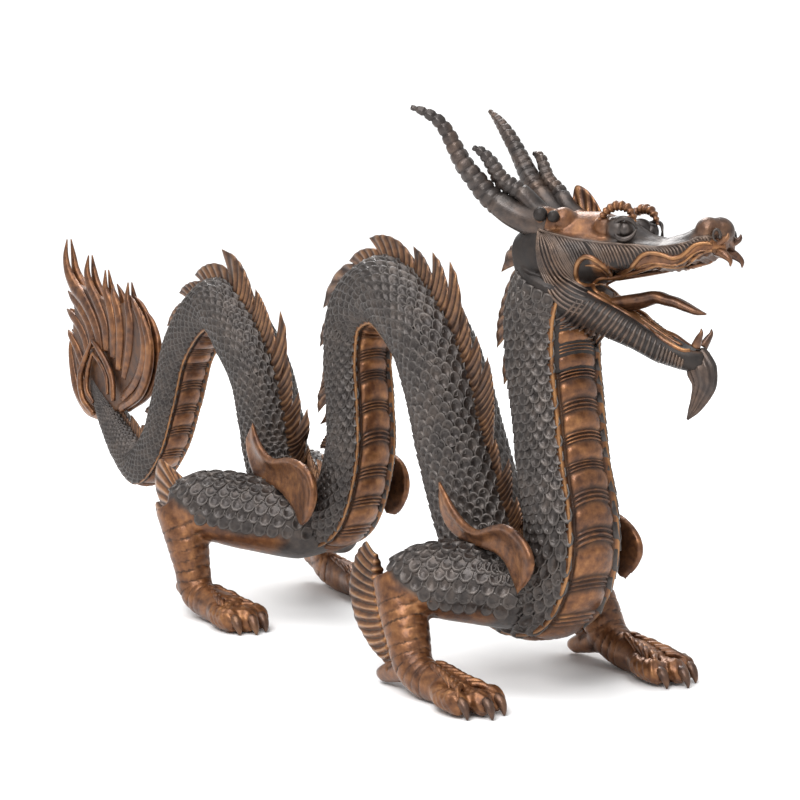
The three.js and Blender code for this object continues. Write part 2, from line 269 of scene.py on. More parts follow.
# %% A ribbed sheet
def ribbed_sheet(root, edge, side, ribs, thick, carve, rows=9, bend=None, ends=0.3):
    """A closed thick sheet from the points of its root line to those of its edge.

    Ribs run from root to edge; thick is half the thickness at root and edge. Returns points,
    faces and how far each point stands up.
    """
    columns = len(root)
    level = np.linspace(0, 1, rows)
    sheet = root[None] + (edge - root)[None] * level[:, None, None]
    if bend is not None:
        sheet = sheet + bend * (4 * level * (1 - level))[:, None, None]
    q = np.linspace(0, 1, columns)
    wave = np.cos(2 * np.pi * ribs * q)[None, :]
    half = (thick[0] + (thick[1] - thick[0]) * level)[:, None] + carve * wave * (
        np.sin(np.pi * np.clip(0.08 + 0.92 * level, 0, 1)) ** 0.5)[:, None]
    half = half * np.minimum(1, ends + 5 * np.minimum(q, 1 - q))[None, :]
    half[-1] *= 0.4
    ring = np.concatenate([sheet - side * half[..., None],
                           (sheet + side * half[..., None])[::-1]], 0)
    index = np.arange(2 * rows * columns).reshape(2 * rows, columns).T.ravel()
    faces = index[grid_faces(columns, 2 * rows)].tolist()
    for end in (0, columns - 1):
        for r in range(rows - 1):
            a, b = r * columns + end, (r + 1) * columns + end
            c, d = (2 * rows - 2 - r) * columns + end, (2 * rows - 1 - r) * columns + end
            faces.append([a, b, c, d])
    raised = np.clip(0.5 + 0.5 * wave + 0 * half, 0, 1)
    return ring.reshape(-1, 3), faces, np.concatenate([raised, raised[::-1]], 0).ravel()


def gather(name, sheets, tone):
    """Several sheets in one mesh, all faces outwards."""
    points = np.vstack([sheet[0] for sheet in sheets])
    starts = np.cumsum([0] + [len(sheet[0]) for sheet in sheets])
    faces = [[v + start for v in face] for sheet, start in zip(sheets, starts)
             for face in sheet[1]]
    rise = np.concatenate([sheet[2] for sheet in sheets])
    return outward(fill_mesh(name, points, faces, rise, tone))


def smooth_line(points, count):
    """A curve through a few points, read at count even steps."""
    track = Track([(*p, 1) for p in np.atleast_2d(points)], fine=24)
    return track.at(np.linspace(0, track.length, count))[0]


def flat(pairs, y):
    """Points x, z put at one y."""
    return np.array([(x, y, z) for x, z in pairs], float)


# %% [markdown]
# ## Trunk skin
# The back and flanks are plain round, because scales cover them. The belly carries broad
# plates with three fine ridges between them, edged on each side by a raised cord, so it gets a
# grid of its own with more rows where the ridges are.

# %% Belly carving
PLATE_PITCH = 29.0
RIM_ANGLE = 38.0    # degrees from the middle of the belly
PLATE_SHARE = 0.64  # the smooth part of each plate; the rest is fine ridges
BELLY_EDGE = 32.0
BELLY_REACH = 46.0


def round_points(s, angle_deg, extra):
    """Points round the trunk: angle 0 is the spine, 180 the middle of the belly."""
    c, a, r = trunk.at(s)
    back = np.stack([-a[..., 2], 0 * a[..., 0], a[..., 0]], -1)
    t = np.radians(angle_deg)[..., None]
    return c + (back * np.cos(t) - LEFT * np.sin(t)) * (r + extra)[..., None]


def belly_relief(place, off_middle, wobble):
    """Millimetres that the belly stands above or below the round."""
    rim = 3.4 * np.exp(-((off_middle - RIM_ANGLE) / 2.6) ** 2)
    gutter = -3.2 * np.exp(-((off_middle - 32.5) / 2.4) ** 2)
    plate = 2.2 * np.sin(np.pi * np.clip(place / PLATE_SHARE, 0, 1)) ** 0.5
    fine = np.clip((place - PLATE_SHARE) / (1 - PLATE_SHARE), 0, 1)
    ridges = 2.6 * np.sin(3 * np.pi * fine) ** 2 * wobble - 0.9
    carved = np.where(place < PLATE_SHARE, plate, ridges)
    inside = np.clip((BELLY_EDGE + 1.5 - off_middle) / 5, 0, 1)
    return rim + gutter + inside * (carved - 1.4)


rng = np.random.default_rng(7)
plates = int(trunk.length / PLATE_PITCH)
within = np.concatenate([np.linspace(0, PLATE_SHARE, 5, endpoint=False),
                         np.linspace(PLATE_SHARE, 1, 15, endpoint=False)])
place = np.tile(within, plates)
row_start = (np.arange(plates)[:, None] + within[None, :]).ravel() * PLATE_PITCH
wobble = np.repeat(rng.uniform(0.7, 1.15, plates), len(within))
off = np.concatenate([np.arange(-BELLY_REACH, -29, 1.9), np.arange(-27.5, 27.6, 5),
                      -np.arange(-BELLY_REACH, -29, 1.9)[::-1]])
bow = 5.0 * (np.clip(np.abs(off), 0, BELLY_EDGE) / BELLY_EDGE) ** 2
s_grid = np.clip(row_start[:, None] - bow[None, :], 0, trunk.length)
slim = np.clip(np.interp(s_grid, trunk.reach, trunk.radii) / 32, 0, 1)
waver = 0.25 * np.sin(0.9 * s_grid + 0.35 * off) * (np.abs(off) < 31)
carving = belly_relief(place[:, None], np.abs(off)[None, :], wobble[:, None]) * slim + waver
carving = np.where(np.abs(off)[None, :] >= BELLY_REACH - 0.1, -4.0, carving)
belly_points = round_points(s_grid, 180 + off[None, :] + 0 * s_grid, carving)
rows, columns = s_grid.shape
belly = fill_mesh("belly", belly_points, grid_faces(rows, columns, closed=False),
                  np.clip(0.35 + carving * 0.26, 0, 1).ravel(),
                  np.where(slim > 0.5, 1.0, 0.3).ravel())

# %% [markdown]
# The back and flanks are a plain round under the scales, sunk a little below the belly where
# the two meet, so that no gap shows between them.

# %% Back skin
rows = int(trunk.length / 6)
along = np.linspace(0, trunk.length, rows)
angles = np.arange(0, 360, 12.0)
sides = len(angles)
skin_points = round_points(along[:, None] + 0 * angles, angles[None, :] + 0 * along[:, None],
                           -1.0 + 0 * along[:, None] * angles)
skin_points[:, np.abs(angles - 180) < 44] = round_points(
    along[:, None] + 0 * angles, angles[None, :] + 0 * along[:, None],
    -6.0 * np.interp(along, trunk.reach, trunk.radii)[:, None] / 44 + 0 * angles)[
        :, np.abs(angles - 180) < 44]
faces = grid_faces(rows, sides).tolist()
for j in range(sides):
    k = (j + 1) % sides
    faces.append([rows * sides, k, j])
    faces.append([rows * sides + 1, (rows - 1) * sides + j, (rows - 1) * sides + k])
ends = trunk.at(np.array([0, trunk.length]))[0]
# The low rise of 0.12 darkens the skin between the scales: painted shade.
body_skin = outward(fill_mesh("body_skin", np.vstack([skin_points.reshape(-1, 3), ends]),
                              faces, 0.12, 0.0))
print("body skin", triangles(body_skin), "belly", triangles(belly), "triangles")

# %% [markdown]
# ## Scales
# One scale is modelled once: a shallow dish with a raised rim that turns down to the skin. It
# is copied in staggered rows, each copy a little larger or smaller and a little askew, tilted
# so that its free edge lies over the next row towards the tail.

# %% One scale
SCALE_TURNS = np.radians([0, 34, 72, 128, 232, 288, 326])
# Each ring is size, height and rise: the rim's high rise gives it wear and a painted highlight,
# the skirt's zero rise paints it dark as shade where it turns down to the skin.
SCALE_RINGS = [(0.60, 0.10, 0.30), (0.80, 0.85, 0.95), (0.96, 0.78, 1.0), (1.03, -1.1, 0.0)]


def one_scale():
    """Points (towards the free edge, across, up) of a scale about one unit across."""
    count = len(SCALE_TURNS)
    points, heights = [(0.0, 0.0, 0.22)], [0.4]
    for size, up, rise in SCALE_RINGS:
        for turn_by in SCALE_TURNS:
            forth = size * math.cos(turn_by)
            points.append((forth, size * math.sin(turn_by), up + 0.55 * forth))
            heights.append(rise)
    faces = [[0, 1 + j, 1 + (j + 1) % count] for j in range(count)]
    for ring in range(len(SCALE_RINGS) - 1):
        for j in range(count):
            a, b = 1 + ring * count + j, 1 + ring * count + (j + 1) % count
            faces.append([a, a + count, b + count, b])
    return np.array(points), faces, np.array(heights)


SCALE_POINTS, SCALE_FACES, SCALE_RISE = one_scale()
print("one scale", len(SCALE_FACES), "faces")


def lay_scales(name, places, towards, across, above, length, width, height):
    """A copy of the scale at every place, all in one mesh, each a little askew."""
    count = len(places)
    askew = rng.normal(0, 0.10, (count, 1))
    towards, across = towards + across * askew, across - towards * askew
    above = unit(above + towards * rng.normal(0, 0.05, (count, 1))
                 + across * rng.normal(0, 0.05, (count, 1)))
    p = SCALE_POINTS
    points = (places[:, None]
              + towards[:, None] * (p[:, 0] * length[:, None])[..., None]
              + across[:, None] * (p[:, 1] * width[:, None])[..., None]
              + above[:, None] * (p[:, 2] * height[:, None])[..., None])
    faces = (np.arange(count) * len(p)).tolist()
    faces = [[v + start for v in face] for start in faces for face in SCALE_FACES]
    return fill_mesh(name, points.reshape(-1, 3), faces, np.tile(SCALE_RISE, count), 0.0)


# %% Where the head is
HEAD_PIVOT = np.array([365.0, 0.0, 400.0])
HEAD_TURN, HEAD_RAISE, HEAD_TILT = 27.0, 5.0, 7.0
head_turning = np.array(Matrix.Rotation(math.radians(HEAD_TURN), 3, "Z")
                        @ Matrix.Rotation(math.radians(-HEAD_RAISE), 3, "Y")
                        @ Matrix.Rotation(math.radians(-HEAD_TILT), 3, "X"))
HAIR_BACK = np.array([(-43, 40), (-39, 26), (-30, 13), (-14, 5), (2, -1), (21, -2), (36, -3)])


def to_head(points):
    """Points in the head's own frame, in which it looks straight along x."""
    return (points - HEAD_PIVOT) @ head_turning


def under_hair(points):
    """True where the mane covers the neck."""
    x, y, z = to_head(points).T
    return (z > -46) & (x > np.interp(z, HAIR_BACK[:, 0], HAIR_BACK[:, 1]) + 1)


# %% Scales of the trunk
SCALES_AROUND = 18
SCALE_ARC = 138.0   # degrees from the spine where the scales stop
ROW_SHARE = 0.205   # row pitch as a share of the radius


def trunk_scales(name, start, stop):
    row_places, s = [], start
    while s < stop:
        row_places.append(s)
        s += ROW_SHARE * max(9.0, float(np.interp(s, trunk.reach, trunk.radii)))
    pitch = 2 * SCALE_ARC / SCALES_AROUND
    spots, turns = [], []
    for i, s in enumerate(row_places):
        row = -SCALE_ARC + pitch * (np.arange(SCALES_AROUND + 1 - i % 2) + 0.5 * (i % 2))
        spots.append(np.full(len(row), s))
        turns.append(row)
    s, angle = np.concatenate(spots), np.concatenate(turns)
    s = s + rng.normal(0, 0.45, len(s))
    angle = angle + rng.normal(0, 0.7, len(s)) * (np.abs(angle) < 120)
    size = rng.normal(1, 0.06, len(s))
    place = round_points(s, angle, 0 * s)
    keep = ~under_hair(place)
    s, angle, size, place = s[keep], angle[keep], size[keep], place[keep]
    out = unit(round_points(s, angle, 1 + 0 * s) - place)
    towards = round_points(s - 2.0, angle, 0 * s) - place
    stretch = np.linalg.norm(towards, axis=1) / 2.0
    towards = unit(towards - np.sum(towards * out, -1, keepdims=True) * out)
    radius_here = np.interp(s, trunk.reach, trunk.radii)
    length = 1.02 * ROW_SHARE * radius_here * np.clip(stretch, 0.5, 1.6) * size
    width = 0.56 * np.radians(pitch) * radius_here * size
    height = 0.058 * radius_here * np.clip(stretch, 0.6, 1.1)
    return lay_scales(name, place, towards, np.cross(out, towards), out, length, width, height)


scales_rear = trunk_scales("scales_rear", 14, 1000)
scales_front = trunk_scales("scales_front", 1000, trunk.length - 4)
print("trunk scales", triangles(scales_rear), triangles(scales_front))

# %% [markdown]
# ## Crest
# Along the spine runs a fin in lobes. Each lobe rises from the head side to a point that leans
# towards the tail, then steps down to the next, and its ribs fan out and bend with it. A lobe
# is a grid between a root line on the back and an edge curve, with a rounded thickness.

# %% Crest lobes
# Distance of each point from the tip of the tail, and how far it stands over the back.
LOBES = [(60, 8), (105, 15), (160, 21), (213, 28), (258, 18), (303, 20), (345, 25), (380, 27),
         (412, 21), (446, 33), (487, 27), (532, 46), (558, 28), (590, 34), (612, 45), (655, 34),
         (700, 30), (748, 27), (796, 31), (838, 37), (880, 45), (916, 50), (975, 40), (1005, 38),
         (1034, 20), (1060, 24), (1100, 22), (1122, 34), (1144, 45), (1172, 27), (1196, 31),
         (1218, 37), (1288, 15), (1314, 28), (1356, 22), (1400, 27), (1446, 31), (1492, 27),
         (1537, 32), (1582, 28), (1632, 36), (1683, 31), (1708, 41), (1734, 48), (1779, 46),
         (1812, 36)]
RIB_PITCH = 5.6


def crest_lobe(tip, high, front_tip, front_high):
    """One lobe, from its point back down to the next lobe towards the head."""
    back, front = tip + 0.30 * high, front_tip + 0.34 * front_high
    columns = max(10, int((front - tip) / 1.3))
    q = np.linspace(0, 1, columns)
    root_s = back + (front - back) * q
    lean = tip - 2
    edge_h = high * (1 - q ** 1.9) * (1 - 0.16 * q) + 0.30 * front_high * q
    edge_s = lean + (front - 2 - lean) * q ** 1.15
    edge_h = edge_h - 0.035 * high * (1 - np.abs(np.cos(np.pi * q * (front - back) / RIB_PITCH)))
    hook = np.exp(-(q / 0.10) ** 2)
    edge_s = edge_s - 0.12 * high * hook
    ground = round_points(root_s, 0 * q, -3 + 0 * q)
    root_ahead = trunk.at(np.clip(root_s, 0, trunk.length))[1]
    centre, ahead, radius = trunk.at(np.clip(edge_s, 0, trunk.length))
    up = np.stack([-ahead[:, 2], 0 * ahead[:, 0], ahead[:, 0]], -1)
    edge = centre + up * (radius + edge_h)[:, None]
    thin = max(0.35, min(1.0, high / 30))
    return ribbed_sheet(ground, edge, LEFT, (front - back) / RIB_PITCH,
                        (4.6 * thin, 1.3), 1.15 * thin, rows=9,
                        bend=root_ahead * (0.10 * high))


sheets = []
for (tip, high), (next_tip, next_high) in zip(LOBES, LOBES[1:] + [(1842, 12)]):
    sheets.append(crest_lobe(tip, high, next_tip, next_high))
crest = gather("crest", sheets, 0.62)
print("crest", triangles(crest), "triangles")

# %% [markdown]
# ## Legs
# Each leg is a few round lumps fused with a piece of the trunk, as they would be in wax, so
# that it grows out of the body. The upper leg carries large scales that hang down round it,
# the lower leg is smooth brown bronze with fine folds across it, a ribbed fin behind, a spur at
# the heel and a paw of three blunt toes.

# %% Stations of the legs
UPPER_ARM = [(352, 6, 98, 32), (335, -25, 98, 40), (300, -66, 102, 38), (276, -90, 101, 34),
             (258, -102, 94, 27)]
FOREARM = [(256, -103, 104, 25), (268, -107, 80, 24), (286, -112, 50, 21), (299, -115, 28, 19),
           (322, -115, 18, 18), (352, -113, 16, 17), (382, -113, 13, 13)]
THIGH = [(-36, 4, 103, 32), (-50, -25, 103, 40), (-92, -66, 110, 39), (-128, -96, 114, 36),
         (-150, -110, 106, 28)]
SHIN = [(-148, -112, 112, 27), (-131, -114, 80, 23), (-122, -113, 50, 19), (-115, -112, 27, 18),
        (-85, -110, 18, 18), (-60, -109, 16, 18), (-40, -108, 14, 17)]
FORE_SPUR = [(290, -113, 22, 13), (264, -113, 15, 11), (248, -113, 10, 9), (238, -113, 9, 5)]
HIND_SPUR = [(-114, -111, 26, 12), (-132, -112, 27, 11), (-145, -113, 28, 8),
             (-151, -113, 29, 4)]
FAR_HIND_SHIFT = np.array([-72.0, 25.0, 0.0])
LEG_VOXEL = 1.9


# %% [markdown]
# Detail is laid on a fused skin by dropping rays onto it, the way a modeller presses a scale
# down until it touches.

# %% Working on a fused skin
def skin_tree(piece):
    """A tree for finding the nearest place on a piece, in millimetres."""
    return BVHTree.FromPolygons(points_of(piece).tolist(),
                                [list(p.vertices) for p in piece.data.polygons])


def cast(tree, starts, ways):
    """First hit and its normal for each ray; rows of nan where there is none."""
    spots = np.full((len(starts), 3), np.nan)
    normals = np.full((len(starts), 3), np.nan)
    for i, (start, way) in enumerate(zip(starts, ways)):
        spot, normal, _, _ = tree.ray_cast(Vector(start), Vector(way))
        if spot is not None:
            spots[i], normals[i] = spot, normal
    return spots, normals


def along_of(track, points, step=4):
    """Distance along a track of the place nearest to each point, and how far off it is."""
    line = track.points[::step]
    gap = np.linalg.norm(points[:, None] - line[None], axis=2)
    pick = gap.argmin(1)
    return track.reach[::step][pick], gap.min(1)


def trunk_stub(x, z, reach, less):
    """A piece of the trunk round the place nearest x, z, a little thinner than it is."""
    s = trunk.reach[np.argmin(np.hypot(trunk.points[:, 0] - x, trunk.points[:, 2] - z))]
    spots = np.linspace(max(0, s - reach), min(trunk.length, s + reach), 12)
    c, _, r = trunk.at(spots)
    return sweep("stub", [(*p, w - less) for p, w in zip(c, r)], sides=32, step=5)


def folds(distance, pitch, depth, width):
    """Fine lines pressed in across a limb."""
    off = np.mod(distance, pitch) - pitch / 2
    return -depth * np.exp(-(off / width) ** 2)


# %% Paws
def toe(x, y, root_y, plump):
    knuckles = lambda share, turn: (1.5 * np.sin(share * 3.1 * np.pi + 0.6)
                                    * np.clip(np.sin(turn) + 0.4, 0, 1))
    return sweep("toe", [(x - 34, root_y, 14, 9 * plump), (x - 16, y, 15, 10.5 * plump),
                         (x + 2, y, 13, 11 * plump), (x + 12, y, 10, 9 * plump),
                         (x + 17, y, 8, 5 * plump)], sides=18, step=1.6, relief=knuckles)


def claw(x, y, size):
    return sweep("claw", [(x + 8, y, 15, 5.5 * size), (x + 16, y, 14, 5.4 * size),
                          (x + 21, y, 9, 4.2 * size), (x + 23.5, y, 3.5, 2.2 * size),
                          (x + 23.5, y, 0.5, 0.8)], sides=10, step=1.6, tone=0.45)


def tufts(x, y, count, side):
    """Short pointed locks lying over the instep."""
    parts = []
    for i in range(count):
        f = i / (count - 1)
        px, pz = x + 52 * f, 33 - 10 * f
        spread = side * (5 + 9 * f) + rng.normal(0, 1.2)
        parts.append(sweep("tuft", [(px - 8, y + 0.4 * spread, pz + 1.5, 3.2),
                                    (px, y + spread, pz + 1.5, 3.6),
                                    (px + 8, y + 1.35 * spread, pz - 2.5, 2.4),
                                    (px + 13, y + 1.7 * spread, pz - 7, 0.5)],
                           sides=8, step=2.4, tone=0.95))
    return parts


# %% [markdown]
# The fore fin is one fan with a notched edge. The hind fin is four leaves that overlap like
# tiles, each modelled by the same ribbed sheet.

# %% Fins behind the lower legs
def fore_fin():
    """A fan of ribs from elbow to ankle, its edge notched."""
    root = smooth_line(flat([(232, 122), (236, 102), (241, 84), (248, 64), (256, 46), (264, 30),
                             (268, 18)], -113), 120)
    edge = smooth_line(flat([(214, 133), (199, 118), (189, 98), (184, 78), (190, 60), (196, 48),
                             (210, 36), (224, 27), (240, 22), (256, 16)], -113), 120)
    q = np.linspace(0, 1, 120)[:, None]
    edge = edge + np.array([0, 0, 4.0]) * np.sin(np.pi * q)
    notch = 1.6 * np.abs(np.sin(np.pi * 15 * q))
    edge = edge + unit(root - edge) * (1.6 - notch)
    return ribbed_sheet(root, edge, LEFT, 15, (6.0, 1.8), 1.7, rows=10,
                        bend=np.array([[0, 0, -2.5]]) + 0 * edge)


HIND_LEAVES = [  # root from low to high, then the edge round the point
    ([(-140, 104), (-136, 138)], [(-168, 104), (-193, 114), (-201, 134), (-190, 157),
                                  (-168, 152), (-146, 146)]),
    ([(-136, 74), (-142, 106)], [(-166, 70), (-190, 84), (-203, 107), (-186, 112), (-164, 112)]),
    ([(-130, 54), (-138, 78)], [(-150, 50), (-170, 62), (-182, 81), (-168, 84), (-150, 82)]),
    ([(-124, 38), (-130, 58)], [(-138, 36), (-155, 44), (-166, 58), (-154, 62), (-140, 60)])]


def hind_fin():
    """Overlapping leaves, each with veins that fan to its point."""
    sheets = []
    for number, (root, edge) in enumerate(HIND_LEAVES):
        y = -113 + 1.5 * number
        sheets.append(ribbed_sheet(smooth_line(flat(root, y), 64), smooth_line(flat(edge, y), 64),
                                   LEFT, 8 - number, (5.0, 1.5), 0.9, rows=10, ends=0.5))
    return sheets


# %% [markdown]
# The large scales hang downwards round the limb. They are left out where the limb sinks into
# the trunk and below the line where the brown bronze starts.

# %% Scales of the upper legs
def limb_scales(tree, stations, start, stop, pitch, brown_at):
    """Rows of large scales that hang down round an upper leg on both sides."""
    track = Track(stations)
    spots, turns = [], []
    for row, turn_by in enumerate(np.radians(np.arange(4, 168, 15.5))):
        for side in (-1, 1):
            d = np.arange(start + (row % 2) * pitch / 2, stop, pitch)
            spots.append(d + rng.normal(0, 0.6, len(d)))
            turns.append(np.full(len(d), side * turn_by))
    d, turn = np.concatenate(spots), np.concatenate(turns)
    c, a, r = track.at(d)
    up = unit(np.array([0, 0, 1.0]) - a[:, 2:] * a)
    side = np.cross(a, up)
    out = up * np.cos(turn)[:, None] + side * np.sin(turn)[:, None]
    hang = (-up * np.sin(turn)[:, None] + side * np.cos(turn)[:, None]) * np.sign(turn)[:, None]
    hit, normal = cast(tree, c + out * (r + 22)[:, None], -out)
    body_s, off_body = along_of(trunk, hit)
    keep = (~np.isnan(hit[:, 0]) & (np.linalg.norm(hit - c, axis=1) < r + 13)
            & (off_body > np.interp(body_s, trunk.reach, trunk.radii) + 1.5)
            & (hit[:, 2] > brown_at(hit[:, 0]) + 3))
    hit, normal, a, hang = hit[keep], unit(normal[keep]), a[keep], hang[keep]
    towards = hang + 0.35 * a
    towards = unit(towards - np.sum(towards * normal, 1, keepdims=True) * normal)
    size = rng.normal(1, 0.06, len(hit))
    return lay_scales("limb_scales", hit - 0.4 * normal, towards, np.cross(normal, towards),
                      normal, 9.6 * size, 0.56 * pitch * size, 1.9 * size)


# %% [markdown]
# One leg is modelled on the right and turned over for the left. The left hind leg strides
# further back, so its outer part is shifted and the hip stays where it is.

# %% One leg
def leg(name, upper, lower, spur, paw, toes, plump, stub_at, brown_at, fin, side, shift=None):
    """A whole leg, made on the dragon's right; side +1 turns it into a left leg."""
    lumps = [sweep("upper", upper, sides=30, step=4), sweep("lower", lower, sides=28, step=2.5),
             sweep("spur", spur, sides=16, step=2.5), trunk_stub(*stub_at, 52, 3.4)]
    lumps += [toe(paw[0] + forward, paw[1] + spread, paw[1] + 0.55 * spread, plump)
              for spread, forward in toes]
    base = blended(join(name + "_base", lumps), LEG_VOXEL, 6)
    p, n = points_of(base), normals_of(base)
    lower_track = Track(lower)
    distance, off = along_of(lower_track, p)
    shin = (np.clip((distance - 16) / 6, 0, 1)
            * np.clip((lower_track.length - 45 - distance) / 8, 0, 1)
            * (p[:, 2] < brown_at(p[:, 0])) * (off < 34))
    crease = folds(distance + 1.4 * np.sin(0.16 * p[:, 1]), 10.5, 1.15, 1.1) * shin
    paw_zone = np.clip((p[:, 0] - paw[0] + 34) / 10, 0, 1) * (p[:, 2] < 40)
    wrinkle = paw_zone * (0.45 * np.sin(0.75 * p[:, 0] + 0.5 * p[:, 2])
                          + 0.35 * np.sin(0.9 * p[:, 1] - 0.6 * p[:, 0]))
    p = p + n * (crease + wrinkle)[:, None]
    move_points(base, p)
    brown = np.clip((brown_at(p[:, 0]) - p[:, 2]) / 7 + 0.5, 0, 1)
    brown *= np.clip((-p[:, 1] - 52) / 14, 0, 1)
    paint(base, rise=np.clip(0.55 + 0.45 * crease + 0.2 * wrinkle, 0, 1), tone=brown)
    scales = limb_scales(skin_tree(base), upper, 26, Track(upper).length + 14, 12.5, brown_at)
    details = [scales, fin()]
    details += [claw(paw[0] + forward, paw[1] + spread, plump) for spread, forward in toes]
    details += tufts(paw[0] - 58, paw[1], 7, -1) + tufts(paw[0] - 58, paw[1], 7, 1)
    whole = join(name, [base] + details)
    p = points_of(whole)
    p[:, 2] = np.maximum(p[:, 2], 0)
    if shift is not None:
        share = np.clip((-p[:, 1] - 25) / 85, 0, 1)[:, None]
        p = p + shift * share
    if side > 0:
        p = p * [1, -1, 1]
        only(whole)
        bpy.ops.object.mode_set(mode="EDIT")
        bpy.ops.mesh.select_all(action="SELECT")
        bpy.ops.mesh.flip_normals()
        bpy.ops.object.mode_set(mode="OBJECT")
    move_points(whole, p)
    return whole


fore_brown = lambda x: np.interp(x, [230, 262, 285, 320], [126, 116, 103, 80])
hind_brown = lambda x: np.interp(x, [-180, -150, -127, -90, -66], [140, 130, 122, 104, 92])
fore = dict(upper=UPPER_ARM, lower=FOREARM, spur=FORE_SPUR, paw=(396, -113),
            toes=[(-19, -8), (0, 4), (19, -4)], plump=1.0, stub_at=(338, 92),
            brown_at=fore_brown, fin=lambda: gather("fin", [fore_fin()], 0.95))
hind = dict(upper=THIGH, lower=SHIN, spur=HIND_SPUR, paw=(-26, -108),
            toes=[(-15, -6), (0, 2), (15, -4)], plump=1.15, stub_at=(-42, 104),
            brown_at=hind_brown, fin=lambda: gather("fin", hind_fin(), 0.95))
fore_right = leg("foreleg_right", **fore, side=-1)
fore_left = leg("foreleg_left", **fore, side=1)
hind_right = leg("hind_leg_right", **hind, side=-1)
hind_left = leg("hind_leg_left", **hind, side=1, shift=FAR_HIND_SHIFT)
for piece in (fore_right, fore_left, hind_right, hind_left):
    print(piece.name, triangles(piece), "triangles")

# %% [markdown]
# ## Shoulder flames
# Over each shoulder and hip lies a smooth tongue of bronze, drawn out to a point behind, with
# a rolled upper rim. It is a sheet between two curves with a cord along them, fused and
# smoothed.

# %% Shoulder flames
FLAME_VOXEL = 2.5
FLAME_COLUMNS = 70
SHOULDER = dict(
    low=[(256, 193), (257, 177), (264, 160), (276, 149), (298, 142), (331, 140), (356, 138),
         (372, 130), (380, 118), (386, 106)],
    top=[(256, 193), (271, 179), (284, 166), (306, 154), (327, 151), (348, 158), (370, 163),
         (391, 158), (406, 148), (412, 136), (405, 120), (390, 105)], y=-61)
HIP = dict(
    low=[(-99, 204), (-110, 184), (-105, 165), (-94, 150), (-73, 143), (-42, 140), (-26, 133),
         (-11, 121), (-4, 110)],
    top=[(-99, 204), (-88, 187), (-72, 172), (-51, 167), (-25, 172), (0, 171), (20, 163),
         (28, 150), (26, 134), (16, 117), (3, 108)], y=-55)


def flame(low, top, y):
    low_line = smooth_line(flat(low, y), FLAME_COLUMNS)
    top_line = smooth_line(flat(top, y), FLAME_COLUMNS)
    q = np.linspace(0, 1, FLAME_COLUMNS)
    low_line[:, 1] += 5 - 3 * q
    top_line[:, 1] += 1 - 3 * q
    taper = np.minimum(1, 0.25 + 4 * np.minimum(q, 1 - q))
    sheet = ribbed_sheet(low_line, top_line, LEFT, 0, (5.0, 5.0), 0.0, rows=8, ends=0.3,
                         bend=np.outer(np.sin(np.pi * q) * 3.5, LEFT))
    cord = sweep("rim", [(*p, w) for p, w in zip(top_line[::3], (4.6 * taper)[::3])], sides=12,
                 step=3)
    lower_cord = sweep("rim", [(*p, w) for p, w in zip(low_line[::3], (3.2 * taper)[::3])],
                       sides=12, step=3)
    body = blended(join("flame", [gather("sheet", [sheet], 1.0), cord, lower_cord]),
                   FLAME_VOXEL, 5)
    p = points_of(body)
    mirrored = fill_mesh("flame", p * [1, -1, 1], [list(f.vertices)[::-1]
                                                   for f in body.data.polygons], 0.6, 1.0)
    paint(body, rise=0.6, tone=1.0)
    return join("flame", [body, mirrored])


flames = join("shoulder_flames", [flame(**SHOULDER), flame(**HIP)])
print("shoulder flames", triangles(flames), "triangles")

# %% [markdown]
# ## Tail flame
# The tail ends in a tuft of long locks that sweep up and back, thick at the root and drawn to
# points. Two petals with raised edges clasp the end of the scaled tail.

# %% Tail locks
TAIL_VOXEL = 2.4
TAIL_THICKNESS = 0.012
TAIL_PLATE = [
    (-520, 150), (-560, 152), (-585, 170), (-600, 200), (-604, 232), (-598, 236), (-598, 258),
    (-590, 262), (-596, 282), (-584, 290), (-590, 306), (-566, 300), (-548, 300), (-536, 296),
    (-512, 290), (-490, 288), (-462, 296), (-440, 284), (-420, 262), (-414, 240), (-426, 214),
    (-455, 188), (-480, 168)]
TAIL_LOCKS = [  # x, z and half width down each lock
    [(-524, 226, 6), (-534, 256, 8), (-560, 284, 9), (-588, 300, 9), (-606, 318, 7),
     (-612, 336, 4.5), (-613, 356, 1)],
    [(-512, 232, 6), (-514, 262, 8), (-534, 288, 8), (-552, 306, 7), (-559, 322, 5),
     (-559, 341, 1)],
    [(-497, 226, 6), (-494, 258, 8), (-502, 286, 8), (-514, 303, 5.5), (-518, 327, 1)],
    [(-482, 214, 6), (-476, 250, 8), (-480, 280, 7.5), (-492, 300, 5), (-498, 312, 1)],
    [(-470, 206, 6), (-456, 240, 8), (-452, 272, 8), (-460, 296, 5.5), (-462, 317, 1)],
    [(-476, 180, 5), (-440, 206, 7), (-420, 238, 8), (-424, 268, 7), (-442, 291, 4.5),
     (-458, 302, 1)],
    [(-480, 168, 5), (-430, 194, 6.5), (-410, 226, 7.5), (-408, 252, 7), (-420, 274, 5),
     (-436, 290, 1)],
    [(-545, 232, 6), (-552, 256, 7.5), (-576, 277, 7), (-596, 287, 4.5), (-613, 294, 1)],
    [(-556, 216, 6), (-566, 242, 7.5), (-584, 258, 7), (-602, 267, 4.5), (-617, 272, 1)],
    [(-562, 196, 6), (-578, 220, 7), (-592, 234, 6), (-604, 243, 4), (-614, 247, 1)],
    [(-528, 154, 6), (-562, 160, 8), (-588, 180, 8), (-599, 208, 6.5), (-603, 228, 4),
     (-604, 246, 1)],
    [(-530, 168, 4), (-556, 176, 6), (-576, 196, 6.5), (-586, 220, 5), (-590, 238, 1)]]
PETALS = [
    [(-530, 157, 3.2), (-556, 172, 4), (-563, 196, 4), (-556, 218, 3.6), (-537, 243, 2)],
    [(-537, 243, 2), (-518, 232, 3.6), (-500, 218, 4), (-488, 202, 4), (-480, 178, 3)],
    [(-530, 170, 2), (-546, 184, 3), (-549, 204, 3), (-537, 228, 1.5)],
    [(-537, 228, 1.5), (-518, 219, 3), (-503, 205, 3), (-494, 184, 2)]]


